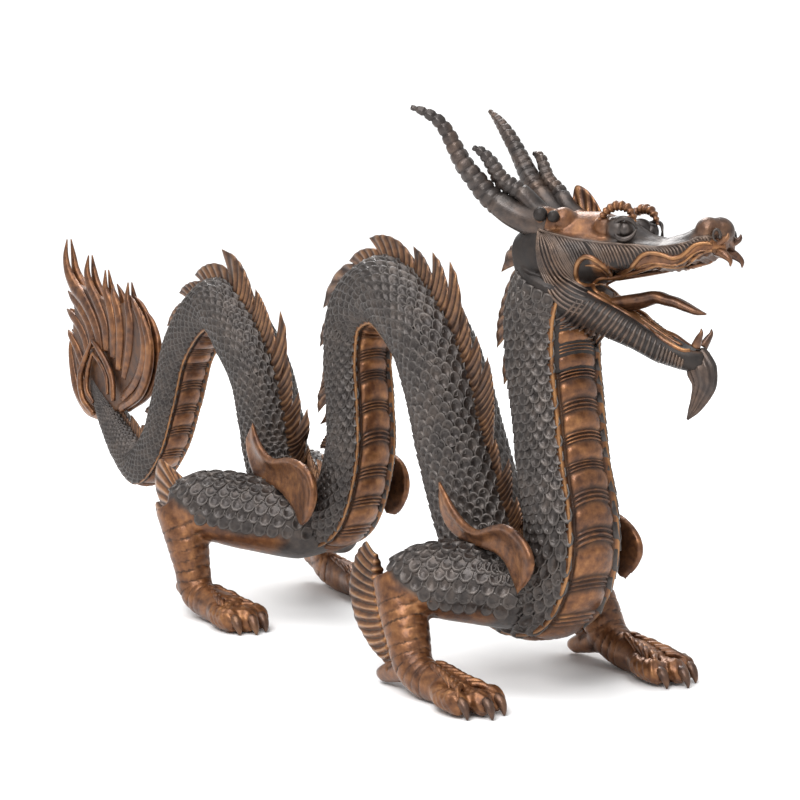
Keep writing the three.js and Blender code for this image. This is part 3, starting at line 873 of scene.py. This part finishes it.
def tail_piece():
    bm = bmesh.new()
    base = bpy.data.meshes.new("tail_plate")
    face = bm.faces.new([bm.verts.new(((x + MIDDLE_SHIFT) / 1000, 0, z / 1000))
                         for x, z in TAIL_PLATE])
    bmesh.ops.triangulate(bm, faces=[face])
    bm.to_mesh(base)
    bm.free()
    plate = bpy.data.objects.new("tail_plate", base)
    bpy.context.scene.collection.objects.link(plate)
    only(plate)
    thick = plate.modifiers.new("thick", "SOLIDIFY")
    thick.thickness, thick.offset = TAIL_THICKNESS, 0
    bpy.ops.object.modifier_apply(modifier=thick.name)
    outward(plate)
    blended(plate, TAIL_VOXEL, 8)
    # The plate between the locks gets a low rise, so the finish paints it dark as shade.
    paint(plate, rise=0.15, tone=0.9)
    strands = lambda share, turn: 0.55 * np.cos(6 * turn + 1.5 * share)
    parts = [plate]
    for side in (-1, 1):
        for number, lock in enumerate(TAIL_LOCKS):
            y = side * (5.2 - 0.5 * (number % 3))
            stations = [(x, y * min(1, (w + 2) / 6), z, w) for x, z, w in lock]
            parts.append(sweep("lock", stations, sides=18, step=3, wide=0.62, relief=strands,
                               tone=0.95))
        for petal in PETALS:
            parts.append(sweep("petal", [(x, side * (11 + 3 * (z < 200)), z, w)
                                         for x, z, w in petal], sides=10, step=2.5, wide=0.9,
                               tone=0.9))
    return join("tail_flame", parts)


tail_flame = tail_piece()
print("tail flame", triangles(tail_flame), "triangles")

# %% [markdown]
# ## Head
# The head is modelled looking straight ahead, about a point on the neck, and then turned to the
# dragon's left, raised a little and tilted. Skull, jaw, snout and neck are lumps fused into one
# skin. The hair, lips and rims are then laid on it as ridges, which is how a wax modeller adds
# them: each follows the skin and keeps its own round top.

# %% Head sections
def ball(x, y, z, radius):
    """A round lump, in millimetres, to be joined to a piece."""
    bpy.ops.object.select_all(action="DESELECT")
    bpy.ops.mesh.primitive_ico_sphere_add(subdivisions=4, radius=radius / 1000, location=(
        (x + MIDDLE_SHIFT) / 1000, y / 1000, z / 1000))
    return bpy.context.view_layer.objects.active


def place_head(piece):
    """A head piece from its own straight frame to where the head is."""
    move_points(piece, points_of(piece) @ head_turning.T + HEAD_PIVOT)
    return piece


RIDGE = np.array([(-40, 36), (-1, 34.5), (7, 31.4), (14, 28.7), (24, 26), (34, 23), (60, 19),
                  (83, 17), (97, 16), (115, 14), (134, 15), (149, 17.5), (158, 21.6), (176, 22)])
LIP_TOP = np.array([(38, -3), (47, 6), (59, 3), (68, -4), (77, -9), (87, -8), (93, -3),
                    (103, 6), (112, 8), (123, 6), (132, 3), (140, 4), (147, 8.5), (154, 14),
                    (163, 16), (172, 15)])
TEETH = np.array([(53, -18), (61, -15), (73, -16), (85, -17), (98, -17), (111, -17),
                  (122, -16), (133, -13), (146, -10), (156, -5), (166, -1), (172, -2)])
SKULL = [(-34, 16, 26, 18, 30), (-12, 18, 34, 30, 44), (20, 16, 37, 35, 42), (50, 12, 36, 37, 27),
         (78, 10, 33, 28, 25), (97, 6, 30, 20, 21), (113, 4, 28, 18, 19), (132, 6, 26, 20, 18),
         (150, 12, 23, 22, 19), (164, 16, 19, 21, 18), (173, 16, 12, 14, 14)]
JAW = [(-20, -24, 34, 20, 24), (28, -28, 38, 20, 28), (54, -42, 36, 16, 26),
       (78, -56, 33, 17, 22), (100, -70, 28, 15, 20), (122, -82, 22, 13, 15),
       (140, -87, 16, 11, 14), (150, -86, 9, 8, 9)]


def head_loft(name, sections, shape, sides=48, step=3.0):
    """A loft along x: each section is x, z, half width, height up, depth down."""
    data = np.array(sections, float)
    xs = np.arange(data[0, 0], data[-1, 0] + 0.1, step)
    z, wide, high, low = (np.interp(xs, data[:, 0], data[:, k]) for k in range(1, 5))
    turn = np.arange(sides) * 2 * math.pi / sides
    up = np.sin(turn)[None, :]
    level = np.where(up > 0, high[:, None], low[:, None]) * up
    points = np.stack([np.broadcast_to(xs[:, None], level.shape),
                       wide[:, None] * np.cos(turn)[None, :], z[:, None] + level], -1)
    points = shape(points, wide[:, None])
    rows = len(xs)
    faces = grid_faces(rows, sides).tolist()
    faces.append(list(range(sides)))
    faces.append([(rows - 1) * sides + j for j in range(sides)][::-1])
    return outward(fill_mesh(name, points, faces))


def skull_shape(p, wide):
    """The temples stand back behind the mane's ridge, and the palate is hollow."""
    x, y, z = p[..., 0], p[..., 1], p[..., 2]
    above = np.clip((z - np.interp(x, RIDGE[:, 0], RIDGE[:, 1])) / 3, 0, 1)
    y = y * (1 - above * np.interp(x, [-30, 0, 90, 150], [0.0, 0.17, 0.2, 0.06]))
    hollow = np.clip(1 - (y / (0.80 * wide)) ** 2, 0, 1) * np.clip((x - 52) / 12, 0, 1)
    z = z + 10 * hollow * (z < np.interp(x, TEETH[:, 0], TEETH[:, 1]) + 9)
    return np.stack([x, y, z], -1)


def jaw_shape(p, wide):
    """The top of the jaw is hollow between the lips."""
    x, y, z = p[..., 0], p[..., 1], p[..., 2]
    top = np.interp(x, [28, 54, 78, 100, 122, 150], [-12, -28, -41, -57, -71, -80])
    hollow = np.clip(1 - (y / (0.76 * wide)) ** 2, 0, 1) * np.clip((x - 50) / 12, 0, 1)
    return np.stack([x, y, z - 8 * hollow * (z > top - 4)], -1)


# %% Head skin
HEAD_VOXEL = 1.6
neck_s = np.linspace(trunk.length - 95, trunk.length, 8)
neck_at, _, neck_r = trunk.at(neck_s)
lumps = [head_loft("skull", SKULL, skull_shape), head_loft("jaw", JAW, jaw_shape),
         sweep("neck", [(*p, r - 0.5) for p, r in zip(to_head(neck_at), neck_r)], sides=40),
         ball(163, 0, 25, 13.5)]
for side in (-1, 1):
    lumps += [ball(156, side * 9, 26, 12.5), ball(74, side * 23, 31, 12),
              ball(-2, side * 20, 41, 15), ball(16, side * 18, 42, 12),
              ball(60, side * 19, 33, 12)]
head = blended(join("head", lumps), HEAD_VOXEL, 4)
p, n = points_of(head), normals_of(head)
for side in (-1, 1):
    nostril = np.linalg.norm((p - [166, side * 18, 21]) / [1.0, 1.0, 1.25], axis=1)
    p = p - n * (4.0 * np.exp(-(nostril / 3.6) ** 2))[:, None]
palate = (p[:, 0] > 62) & (np.abs(p[:, 1]) < 22) & (n[:, 2] < -0.4) & (p[:, 2] > -26)
p = p + n * (0.9 * np.sin(0.85 * p[:, 0]) * palate)[:, None]
move_points(head, p)
x, y, z = p.T
ridge_z = np.interp(x, RIDGE[:, 0], RIDGE[:, 1])
lip_z = np.where(x < 40, -99, np.interp(x, LIP_TOP[:, 0], LIP_TOP[:, 1]))
rim_z = np.interp(x, [50, 77, 105, 121, 141], [-30, -41, -57, -70, -82])
soft = lambda value, width: np.clip(value / width + 0.5, 0, 1)
temple = soft(x + 2, 10) * soft(64 - x, 12) * soft(z - ridge_z - 1, 4) * soft(54 - z, 8)
mouth = soft(x - 50, 6) * soft(lip_z + 1 - z, 3) * soft(z - rim_z, 3)
snout = 0.4 * soft(x - 146, 10) * soft(z - 4, 6)
haired = (z < ridge_z) & (mouth < 0.5) & (x < 168)
inside = (np.abs(y) < 24) & (mouth > 0.5) & (np.abs(n[:, 2]) > 0.35)
# The skin under the hair and inside the mouth gets a low rise, so the finish paints it dark as
# shade between the locks and in the mouth.
paint(head, rise=np.where(haired, 0.06, np.where(inside, 0.10, 0.52)),
      tone=np.clip(0.85 * temple + 0.8 * mouth + snout, 0, 1))
head_skin = skin_tree(head)
print("head skin", triangles(head), "triangles")

# %% [markdown]
# ## Hair, lips and rims
# A ridge is a strip with a rounded section that follows a line drawn on the skin. The lines are
# given as seen from the side; each is dropped onto the skin, left and right alike. The hair
# falls from the ridge behind the temples, sweeps forward under the mouth, and shortens along
# the muzzle and the jaw.

# %% Ridges on the head
# The third column is the rise: the round top is painted light as wear and highlight, the foot and
# underside dark as shade.
RIDGE_SECTION = np.array([(-1.0, -0.6, 0.0), (-0.62, 0.38, 0.65), (0.0, 0.85, 1.0),
                          (0.62, 0.38, 0.65), (1.0, -0.6, 0.0), (0.0, -1.1, 0.0)])
LOOK = unit(np.array([-0.44, 0.89, -0.09]))


def even_line(pairs, count):
    """A smooth line x, z read at even steps, on the plane y = 0."""
    return smooth_line(flat(pairs, 0.0), count)


def drape(line, side, depth=36.0):
    """A line x, z dropped onto the head from the side: places and normals."""
    way = LOOK * [1, -side, 1]
    starts = line + [0, side * depth, 0] - way * 90
    spots, normals = cast(head_skin, starts, np.broadcast_to(way, starts.shape))
    good = ~np.isnan(spots[:, 0])
    spots, normals = spots[good], normals[good]
    for _ in range(3):
        if len(spots) > 4:
            spots[1:-1] = (spots[:-2] + 2 * spots[1:-1] + spots[2:]) / 4
            normals[1:-1] = (normals[:-2] + 2 * normals[1:-1] + normals[2:]) / 4
    return spots, normals


def ridge(spots, normals, width, tall=1.0, trail=0.0):
    """A closed strip with a rounded top along places on the skin."""
    if trail:
        end = unit(spots[-1] - spots[-3])
        spots = np.vstack([spots, spots[-1] + end * trail])
        normals = np.vstack([normals, normals[-1:]])
        width = np.append(width, 0.25 * width[-1])
    ahead = unit(np.gradient(spots, axis=0))
    normals = unit(normals - np.sum(normals * ahead, 1, keepdims=True) * ahead)
    across = np.cross(ahead, normals)
    ring = (spots[:, None] + across[:, None] * (RIDGE_SECTION[:, 0] * width[:, None])[..., None]
            + normals[:, None] * (RIDGE_SECTION[:, 1] * tall * width[:, None])[..., None])
    count, sides = len(spots), len(RIDGE_SECTION)
    faces = grid_faces(count, sides).tolist()
    faces += [list(range(sides)), [(count - 1) * sides + j for j in range(sides)]]
    return ring.reshape(-1, 3), faces, np.tile(RIDGE_SECTION[:, 2], count)


def both_sides(line, width, tall=1.0, trail=0.0):
    """The same ridge on the right and the left of the head."""
    made = []
    for side in (-1, 1):
        spots, normals = drape(line, side)
        if len(spots) > 5:
            width_here = np.interp(np.linspace(0, 1, len(spots)),
                                   np.linspace(0, 1, len(width)), width)
            made.append(ridge(spots, normals, width_here, tall, trail))
    return made


# %% Hair
HAIR_GUIDES = [
    [(-1, 34), (-3, 18), (-1, 2), (5, -14), (13, -30), (26, -40), (42, -45)],
    [(0, 33), (-1, 18), (3.5, 3.4), (9.4, -8.5), (19, -21), (32, -30), (46, -34)],
    [(1.4, 31), (9, 20), (14, 6), (23, -8), (35, -16), (48, -22)],
    [(6.7, 31), (15, 20), (21, 9), (28, -3), (36, -12), (41, -17)],
    [(13.6, 28.5), (19.6, 19), (27, 8), (34, -3), (37, -9)],
    [(24, 26), (30, 17), (35, 8), (37, 2)],
    [(34, 23), (40, 15), (44, 9)],
    [(44, 21.5), (49, 15), (54, 7)]]
HAIR_STEPS = 3
hair = []
guides = [even_line(guide, 26) for guide in HAIR_GUIDES]
for one, two in zip(guides[:-1], guides[1:]):
    for f in np.arange(HAIR_STEPS) / HAIR_STEPS:
        line = one + (two - one) * f
        hair += both_sides(line, rng.uniform(0.9, 1.1) * np.array([1.1, 1.9, 2.0, 1.9, 0.9]),
                           1.0)
lip_at = lambda x: np.interp(x, LIP_TOP[:, 0], LIP_TOP[:, 1])
for x in np.arange(46, 166, 3.5):
    start = np.array([x, np.interp(x, RIDGE[:, 0], RIDGE[:, 1]) - 0.5])
    lean = np.interp(x, [46, 100, 165], [12, 9, 4])
    stop = np.array([x + lean, lip_at(x + lean) + 2.0])
    middle = (start + stop) / 2 + [1.2, 0.6]
    hair += both_sides(even_line([start, middle, stop], 10),
                       rng.uniform(0.85, 1.1) * np.array([1.4, 1.9, 1.8, 0.9]))
JAW_TOP = np.array([(38, -33), (59, -34), (77, -43), (90, -51), (105, -60), (121, -73),
                    (132, -80), (142, -86)], float)
JAW_LOW = np.array([(13, -50), (32, -58), (50, -65), (68, -73), (90, -86), (108, -93),
                    (121, -98), (131, -102)], float)
for f in np.linspace(0, 1, 25):
    start = np.array([np.interp(f, np.linspace(0, 1, 8), JAW_TOP[:, k]) for k in range(2)])
    stop = np.array([np.interp(f, np.linspace(0, 1, 8), JAW_LOW[:, k]) for k in range(2)])
    middle = (start + stop) / 2 + [1.5, -1.5]
    hair += both_sides(even_line([start, middle, stop], 16),
                       rng.uniform(0.9, 1.15) * np.array([1.2, 2.1, 2.3, 2.0, 1.2]), 1.0, 3.0)
mane_ridge = even_line([(x, z - 0.3) for x, z in RIDGE[1:]], 90)
hair += both_sides(mane_ridge, np.array([2.2, 2.4, 2.3, 2.0, 1.8, 1.6]), 1.0)
hair_piece = gather("hair", hair, 0.12)
print("hair", triangles(hair_piece), "triangles")

# %% Lips and teeth
LIP_SCROLL = [(60, 3), (48, 6.5), (39.5, 2.7), (36.4, -5.6), (38, -14), (44, -17.6), (53, -16)]
INNER_ROLL = [(172, 10), (160, 6), (150, 0), (140, -4), (128, -4), (116, -3), (104, -7),
              (92, -11), (80, -12.5), (67, -9.5), (58, -11.5), (53.5, -17), (56, -22.5),
              (66, -28), (85, -36.5), (99, -44), (112, -52), (124, -60), (133, -66),
              (142, -70.5)]
LOWER_RIM = [(48, -24), (60, -30), (77, -38.5), (90, -46), (105, -54.5), (121, -67),
             (132, -73.5), (142, -78), (149, -78)]
lips = []
outer = [tuple(v) for v in LIP_TOP[::-1][:-3]] + LIP_SCROLL[1:]
lips += both_sides(even_line(outer, 120), np.array([1.8, 2.6, 3.0, 3.1, 3.1, 3.2, 3.4, 3.2, 2.4]))
between = lambda share: [(x, z + share * (np.interp(x, TEETH[:, 0], TEETH[:, 1]) - z))
                         for x, z in LIP_TOP[4:]]
lips += both_sides(even_line(between(0.36), 90), np.array([0.8, 1.6, 1.7, 1.6, 1.2]))
lips += both_sides(even_line(INNER_ROLL, 150), np.array([1.4, 2.2, 2.5, 2.6, 2.7, 2.6, 2.4, 2.0]))
lips += both_sides(even_line(LOWER_RIM, 90), np.array([2.4, 3.4, 3.5, 3.4, 3.0, 2.4]), 0.9)
beads = 1.9 * (0.55 + 0.45 * np.abs(np.sin(np.linspace(0, 24 * math.pi, 150))))
lips += both_sides(even_line(TEETH + [0, 1.5], 150), beads, 1.2)
lower_teeth = [(62, -23), (80, -31), (96, -39), (110, -48), (122, -56), (134, -64)]
lips += both_sides(even_line(lower_teeth, 120), beads[:120] * 0.8, 1.1)
upper_swirl = [(46, -1), (53, -1), (60, -3), (68, -8)]
lips += both_sides(even_line(upper_swirl, 20), np.array([0.8, 1.9, 1.8, 0.8]))
lip_piece = gather("lips", lips, 0.92)

# %% [markdown]
# The small parts of the face are separate sweeps and balls pressed into the skin. The ear
# stands on the left only.

# %% Eyes, nostrils, brows, ears, beard
ribbed = lambda share, turn: 0.9 * np.cos(2 * math.pi * 9 * share) + 0 * turn
tongue_groove = lambda share, turn: -1.6 * np.exp(-((turn - math.pi / 2) / 0.28) ** 2)
beard_grooves = lambda share, turn: 0.85 * np.cos(12 * turn + 1.2 * np.sin(6 * share))
brown_parts, dark_parts = [], []
for side in (-1, 1):
    brow = [(57, side * 27, 40, 2.5), (66, side * 28, 48, 5), (75, side * 27, 51.5, 6),
            (84, side * 25, 49, 5.5), (89, side * 24, 42, 3.5), (91, side * 24, 36, 1.5)]
    brown_parts.append(sweep("brow", brow, sides=16, step=0.9, tall=0.75, relief=ribbed, tone=1.0))
    dark_parts.append(sweep("eyeball", [(76, side * 25, 30, 1), (78, side * 26, 30, 6),
                                        (83, side * 26.5, 30, 8.6), (88, side * 26, 30, 6.5),
                                        (90.5, side * 26, 30, 1)], sides=24, step=1))
    for z_mid, arch in ((30, 9.5), (30, -9.5)):
        lid = [(72, side * 30, z_mid, 1), (77, side * 33, z_mid + 0.75 * arch, 2.2),
               (84, side * 34, z_mid + arch, 2.4), (91, side * 31, z_mid + 0.7 * arch, 2.0),
               (94, side * 27, z_mid, 1)]
        dark_parts.append(sweep("lid", lid, sides=10, step=1.6))
    nostril = [(168 + 2.5 * math.cos(a), side * (19 - 2.2 * math.cos(a)), 21 + 5.2 * math.sin(a),
                1.7 - 0.12 * k) for k, a in enumerate(np.linspace(-0.6, 4.9, 9))]
    dark_parts.append(sweep("nostril", nostril, sides=8, step=1.5))
    dark_parts += [ball(1, side * 35, 47, 6.6), ball(13, side * 32.5, 44.5, 5.6)]
    for way in ([(163, side * 9, 8, 5), (172, side * 12, 4, 4.2), (178, side * 13, -2, 2.4),
                 (178, side * 13, -7, 0.6)],
                [(160, side * 10, 14, 5), (170, side * 13, 16, 4), (176, side * 14, 19, 2.4),
                 (177, side * 14, 23, 0.6)]):
        brown_parts.append(sweep("lip_hook", way, sides=12, step=1.5, tone=0.7))
    brown_parts.append(sweep("barb", [(141, side * 8, -77, 4.5), (145, side * 10, -70, 3.4),
                                      (148, side * 11, -65, 2), (148, side * 11, -61, 0.5)],
                             sides=10, step=1.5, tone=0.6))
tongue = [(50, 0, -38, 14), (84, 0, -33.5, 12), (100, 0, -31, 10), (110, 0, -34, 9),
          (119, 0, -36.5, 8.5), (129, 0, -41, 7.5), (139, 0, -45.5, 5.5), (148, 0, -48, 1.5)]
brown_parts.append(sweep("tongue", tongue, sides=28, step=1.6, tall=0.62, relief=tongue_groove,
                         tone=0.75))
beard = [(136, 0, -82, 11), (143, 0, -98, 14), (145, 0, -111, 11.5), (139, 0, -126, 7),
         (134, 0, -134, 4.5), (128, 0, -142, 1)]
dark_parts.append(sweep("beard", beard, sides=60, step=2, wide=0.72, relief=beard_grooves,
                        tone=0.1))


EAR_COLUMNS = 44


def ear(side):
    """A pointed leaf with ribs, cupped towards the front."""
    root = smooth_line(np.array([(4, side * 25, 30), (18, side * 27, 31),
                                 (36, side * 26, 31)]), EAR_COLUMNS)
    edge = smooth_line(np.array([(0, side * 26, 44), (2, side * 28, 60), (6, side * 29, 77),
                                 (16, side * 29, 73), (26, side * 28, 62),
                                 (35, side * 27, 46), (40, side * 26, 34)]), EAR_COLUMNS)
    return ribbed_sheet(root, edge, LEFT, 8, (5.5, 1.4), 0.9, rows=12, ends=0.4,
                        bend=np.outer(np.ones(EAR_COLUMNS), [0, side * 3.0, 0]))


ears = gather("ears", [ear(1)], 1.0)
head = join("head", [head, hair_piece] + dark_parts)
face = join("face", [lip_piece, ears] + brown_parts)
place_head(head)
place_head(face)
print("head", triangles(head), "face", triangles(face), "triangles")

# %% [markdown]
# ## Horns
# Two horns and two tines sweep back from knuckled bases. Beyond the base each is notched into
# rings like bamboo, closer together towards the point.

# %% Horns
HORNS = {  # stations, number of rings, share of the length that is smooth
    "horn_right": ([(2, -20, 38, 14.5), (-18, -24, 44, 13.5), (-35, -28, 52, 12.5),
                    (-53, -33, 67, 10.5), (-63, -37, 81, 9.5), (-74, -42, 97, 8.5),
                    (-81, -46, 112, 7.5), (-86, -51, 126, 6.5), (-93, -55, 137, 5.5),
                    (-104, -60, 145, 4), (-116, -64, 150, 2)], 13, 0.30),
    "horn_left": ([(4, 20, 40, 13.5), (-17, 24, 56, 12), (-40, 32, 82, 9.5), (-57, 40, 106, 8),
                   (-74, 48, 130, 6.5), (-88, 56, 145, 4.5), (-102, 64, 156, 2)], 14, 0.28),
    "tine_right": ([(-4, -20, 48, 10), (-24, -24, 68, 8.5), (-41, -29, 81, 7.8),
                    (-49, -34, 96, 6.5), (-57, -39, 107, 4.5), (-63, -44, 111, 2)], 9, 0.30),
    "tine_left": ([(12, 20, 46, 9.5), (-2, 24, 59, 8.5), (-11, 28, 71, 7.2), (-24, 32, 84, 6.5),
                   (-31, 36, 97, 5.5), (-37, 40, 107, 4.5), (-45, 44, 111, 2)], 9, 0.32)}


def ringed(count, smooth_share):
    def relief(share, turn):
        place = np.clip((share - smooth_share) / (1 - smooth_share), 0, 1) * count
        notch = -1.5 * np.exp(-((np.mod(place, 1) - 0.5) / 0.14) ** 2)
        chips = 0.4 * np.cos(5 * turn + 7.1 * np.floor(place + 0.5))
        knuckle = 1.1 * np.sin(5 * math.pi * share) * np.cos(turn - 0.8)
        return np.where(place > 0.05, 0.5 + notch + chips, knuckle)
    return relief


horns = join("horns", [sweep(name, stations, sides=22, step=1.15, relief=ringed(count, start),
                             tone=0.05)
                       for name, (stations, count, start) in HORNS.items()])
place_head(horns)
print("horns", triangles(horns), "triangles")
DARK_HEAD, BROWN_HEAD = [head, horns], [face]

# %% [markdown]
# ## Finish
# Old bronze is dark where the patina is thick and brown to gold where hands and cleaning have
# rubbed it. The colour is mixed from the two numbers on each point, broken up by noise that is
# fixed to the object. Raised points are lightened, partly as wear and partly as a painted
# highlight, and the hollows are left rough and painted nearly black as shade.

# %% Bronze
def ramp(nodes, stops):
    node = nodes.new("ShaderNodeValToRGB")
    node.color_ramp.elements[0].position, node.color_ramp.elements[0].color = stops[0]
    node.color_ramp.elements[1].position, node.color_ramp.elements[1].color = stops[-1]
    for position, colour in stops[1:-1]:
        node.color_ramp.elements.new(position).color = colour
    return node


def bronze(name, roughness):
    """Patinated bronze that reads the rise and tone of each point."""
    material = bpy.data.materials.new(name)
    material.use_nodes = True
    nodes, links = material.node_tree.nodes, material.node_tree.links
    shader = nodes["Principled BSDF"]
    shader.inputs["Metallic"].default_value = 0.62
    shader.inputs["Specular IOR Level"].default_value = 0.55
    shader.inputs["Coat Weight"].default_value = 0.12
    shader.inputs["Coat Roughness"].default_value = 0.22

    where = nodes.new("ShaderNodeTexCoord")

    def noise(scale, detail, rough=0.55):
        node = nodes.new("ShaderNodeTexNoise")
        node.inputs["Scale"].default_value = scale
        node.inputs["Detail"].default_value = detail
        node.inputs["Roughness"].default_value = rough
        links.new(where.outputs["Object"], node.inputs["Vector"])
        return node.outputs["Fac"]

    def attribute(label):
        node = nodes.new("ShaderNodeAttribute")
        node.attribute_name = label
        return node.outputs["Fac"]

    def math_node(kind, a, b, c=None, clamp=False):
        node = nodes.new("ShaderNodeMath")
        node.operation, node.use_clamp = kind, clamp
        for socket, value in zip(node.inputs, (a, b, c)):
            if value is None:
                continue
            if isinstance(value, (int, float)):
                socket.default_value = value
            else:
                links.new(value, socket)
        return node.outputs[0]

    def mix(factor, a, b, kind="MIX"):
        node = nodes.new("ShaderNodeMix")
        node.data_type, node.blend_type = "RGBA", kind
        for label, value in (("Factor", factor), ("A", a), ("B", b)):
            socket = [s for s in node.inputs if s.name == label and s.enabled][0]
            if isinstance(value, (int, float, tuple)):
                socket.default_value = value
            else:
                links.new(value, socket)
        return [s for s in node.outputs if s.enabled][0]

    broad, middle, grain = noise(22, 3), noise(120, 4), noise(700, 3)
    rise, tone = attribute("rise"), attribute("tone")
    brown_mix = math_node("MULTIPLY_ADD", middle, 0.75, math_node("MULTIPLY", broad, 0.55))
    browns = ramp(nodes, [(0.30, (0.030, 0.012, 0.007, 1)), (0.52, (0.095, 0.038, 0.018, 1)),
                          (0.70, (0.190, 0.078, 0.030, 1)), (0.90, (0.330, 0.150, 0.055, 1))])
    links.new(brown_mix, browns.inputs["Fac"])
    darks = ramp(nodes, [(0.35, (0.022, 0.017, 0.016, 1)), (0.60, (0.045, 0.037, 0.034, 1)),
                         (0.85, (0.085, 0.066, 0.056, 1))])
    links.new(brown_mix, darks.inputs["Fac"])
    toned = math_node("ADD", tone, math_node("MULTIPLY_ADD", broad, 0.7, -0.35), clamp=True)
    toned = math_node("MULTIPLY", toned, math_node("GREATER_THAN", tone, 0.02))
    colour = mix(toned, darks.outputs["Color"], browns.outputs["Color"])
    # Raised points are lightened towards greyish or golden bronze: partly wear, partly a painted
    # highlight.
    wear_and_highlight = math_node("MULTIPLY", math_node("SUBTRACT", rise, 0.62, clamp=True),
                     math_node("MULTIPLY_ADD", middle, 2.4, -0.3, clamp=True), clamp=True)
    gold = mix(toned, (0.13, 0.115, 0.105, 1), (0.52, 0.27, 0.10, 1))
    colour = mix(math_node("MULTIPLY", wear_and_highlight, 1.1, clamp=True), colour, gold)
    # Low points are darkened nearly to black as painted shade in the hollows; the same mask makes
    # them rougher.
    hollow_shade = math_node("SUBTRACT", 1.0, math_node("MULTIPLY", rise, 2.6, clamp=True), clamp=True)
    colour = mix(math_node("MULTIPLY", hollow_shade, 0.72), colour, (0.010, 0.007, 0.006, 1))
    links.new(colour, shader.inputs["Base Color"])

    rough = math_node("MULTIPLY_ADD", middle, 0.26, roughness - 0.13)
    rough = math_node("MULTIPLY_ADD", hollow_shade, 0.25, rough, clamp=True)
    links.new(rough, shader.inputs["Roughness"])

    bump = nodes.new("ShaderNodeBump")
    bump.inputs["Strength"].default_value = 0.55
    bump.inputs["Distance"].default_value = 0.0009
    height = math_node("MULTIPLY_ADD", grain, 0.45, middle)
    links.new(height, bump.inputs["Height"])
    links.new(bump.outputs["Normal"], shader.inputs["Normal"])
    return material


old_patina = bronze("old_patina", 0.38)
rubbed_bronze = bronze("rubbed_bronze", 0.34)
print("finishes", old_patina.name, rubbed_bronze.name)

# %% [markdown]
# ## What each piece is
# All of it is one casting, so every piece rides on the one body and stands for the one CAD
# node.

# %% Pieces
DARK = [body_skin, scales_rear, scales_front, fore_right, fore_left, hind_right, hind_left,
        *DARK_HEAD]
BROWN = [belly, crest, flames, tail_flame, *BROWN_HEAD]
for pieces, material, slot in ((DARK, old_patina, "dark_patina"),
                               (BROWN, rubbed_bronze, "brown_bronze")):
    for piece in pieces:
        piece.data.materials.clear()
        piece.data.materials.append(material)
        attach(piece, "root")
        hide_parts("dragon")
print("triangles in all", sum(triangles(piece) for piece in DARK + BROWN))

# %% [markdown]
# ## Studio
# A wide white floor, an even white sky, one broad sun for the soft shadow under the belly and
# two softboxes that put highlights on the scales.

# %% Floor and light
FLOOR_SIZE = 400  # metres, so that it fills the view with no horizon
bpy.ops.object.select_all(action="DESELECT")
bpy.ops.mesh.primitive_plane_add(size=FLOOR_SIZE, location=(0, 0, 0))
floor = bpy.context.view_layer.objects.active
floor.name = "floor"
floor_finish = bpy.data.materials.new("floor_white")
floor_finish.use_nodes = True
paper = floor_finish.node_tree.nodes["Principled BSDF"]
paper.inputs["Base Color"].default_value = (0.92, 0.92, 0.92, 1)
paper.inputs["Roughness"].default_value = 0.9
paper.inputs["Specular IOR Level"].default_value = 0.1
floor.data.materials.append(floor_finish)

world = bpy.data.worlds.new("studio")
bpy.context.scene.world = world
world.use_nodes = True
world.node_tree.nodes["Background"].inputs["Color"].default_value = (1, 1, 1, 1)
world.node_tree.nodes["Background"].inputs["Strength"].default_value = 0.75
bpy.context.scene.view_settings.view_transform = "Standard"


def aim(thing, place, target):
    thing.location = place
    thing.rotation_euler = (Vector(target) - Vector(place)).to_track_quat("-Z", "Y").to_euler()
    bpy.context.scene.collection.objects.link(thing)


def softbox(name, place, target, size, watts):
    light = bpy.data.lights.new(name, "AREA")
    light.shape = "SQUARE"
    light.size = size
    light.energy = watts
    aim(bpy.data.objects.new(name, light), place, target)


sun = bpy.data.lights.new("sun", "SUN")
sun.energy = 2.0
sun.angle = math.radians(50)
aim(bpy.data.objects.new("sun", sun), (0.3, -0.9, 2.6), (0, 0, 0))
softbox("front", (1.6, -1.7, 1.9), (0.1, 0, 0.25), 0.9, 32)
softbox("back", (-1.5, 0.9, 2.0), (0, 0, 0.25), 1.0, 30)

# %% Camera
CAMERA_PLACE = (2.6315, -1.639, 0.662)
CAMERA_TARGET = (0.1535, 0, 0.246)
lens = bpy.data.cameras.new("view")
lens.lens = 135
lens.sensor_width = 36
camera = bpy.data.objects.new("view", lens)
aim(camera, CAMERA_PLACE, CAMERA_TARGET)
bpy.context.scene.camera = camera
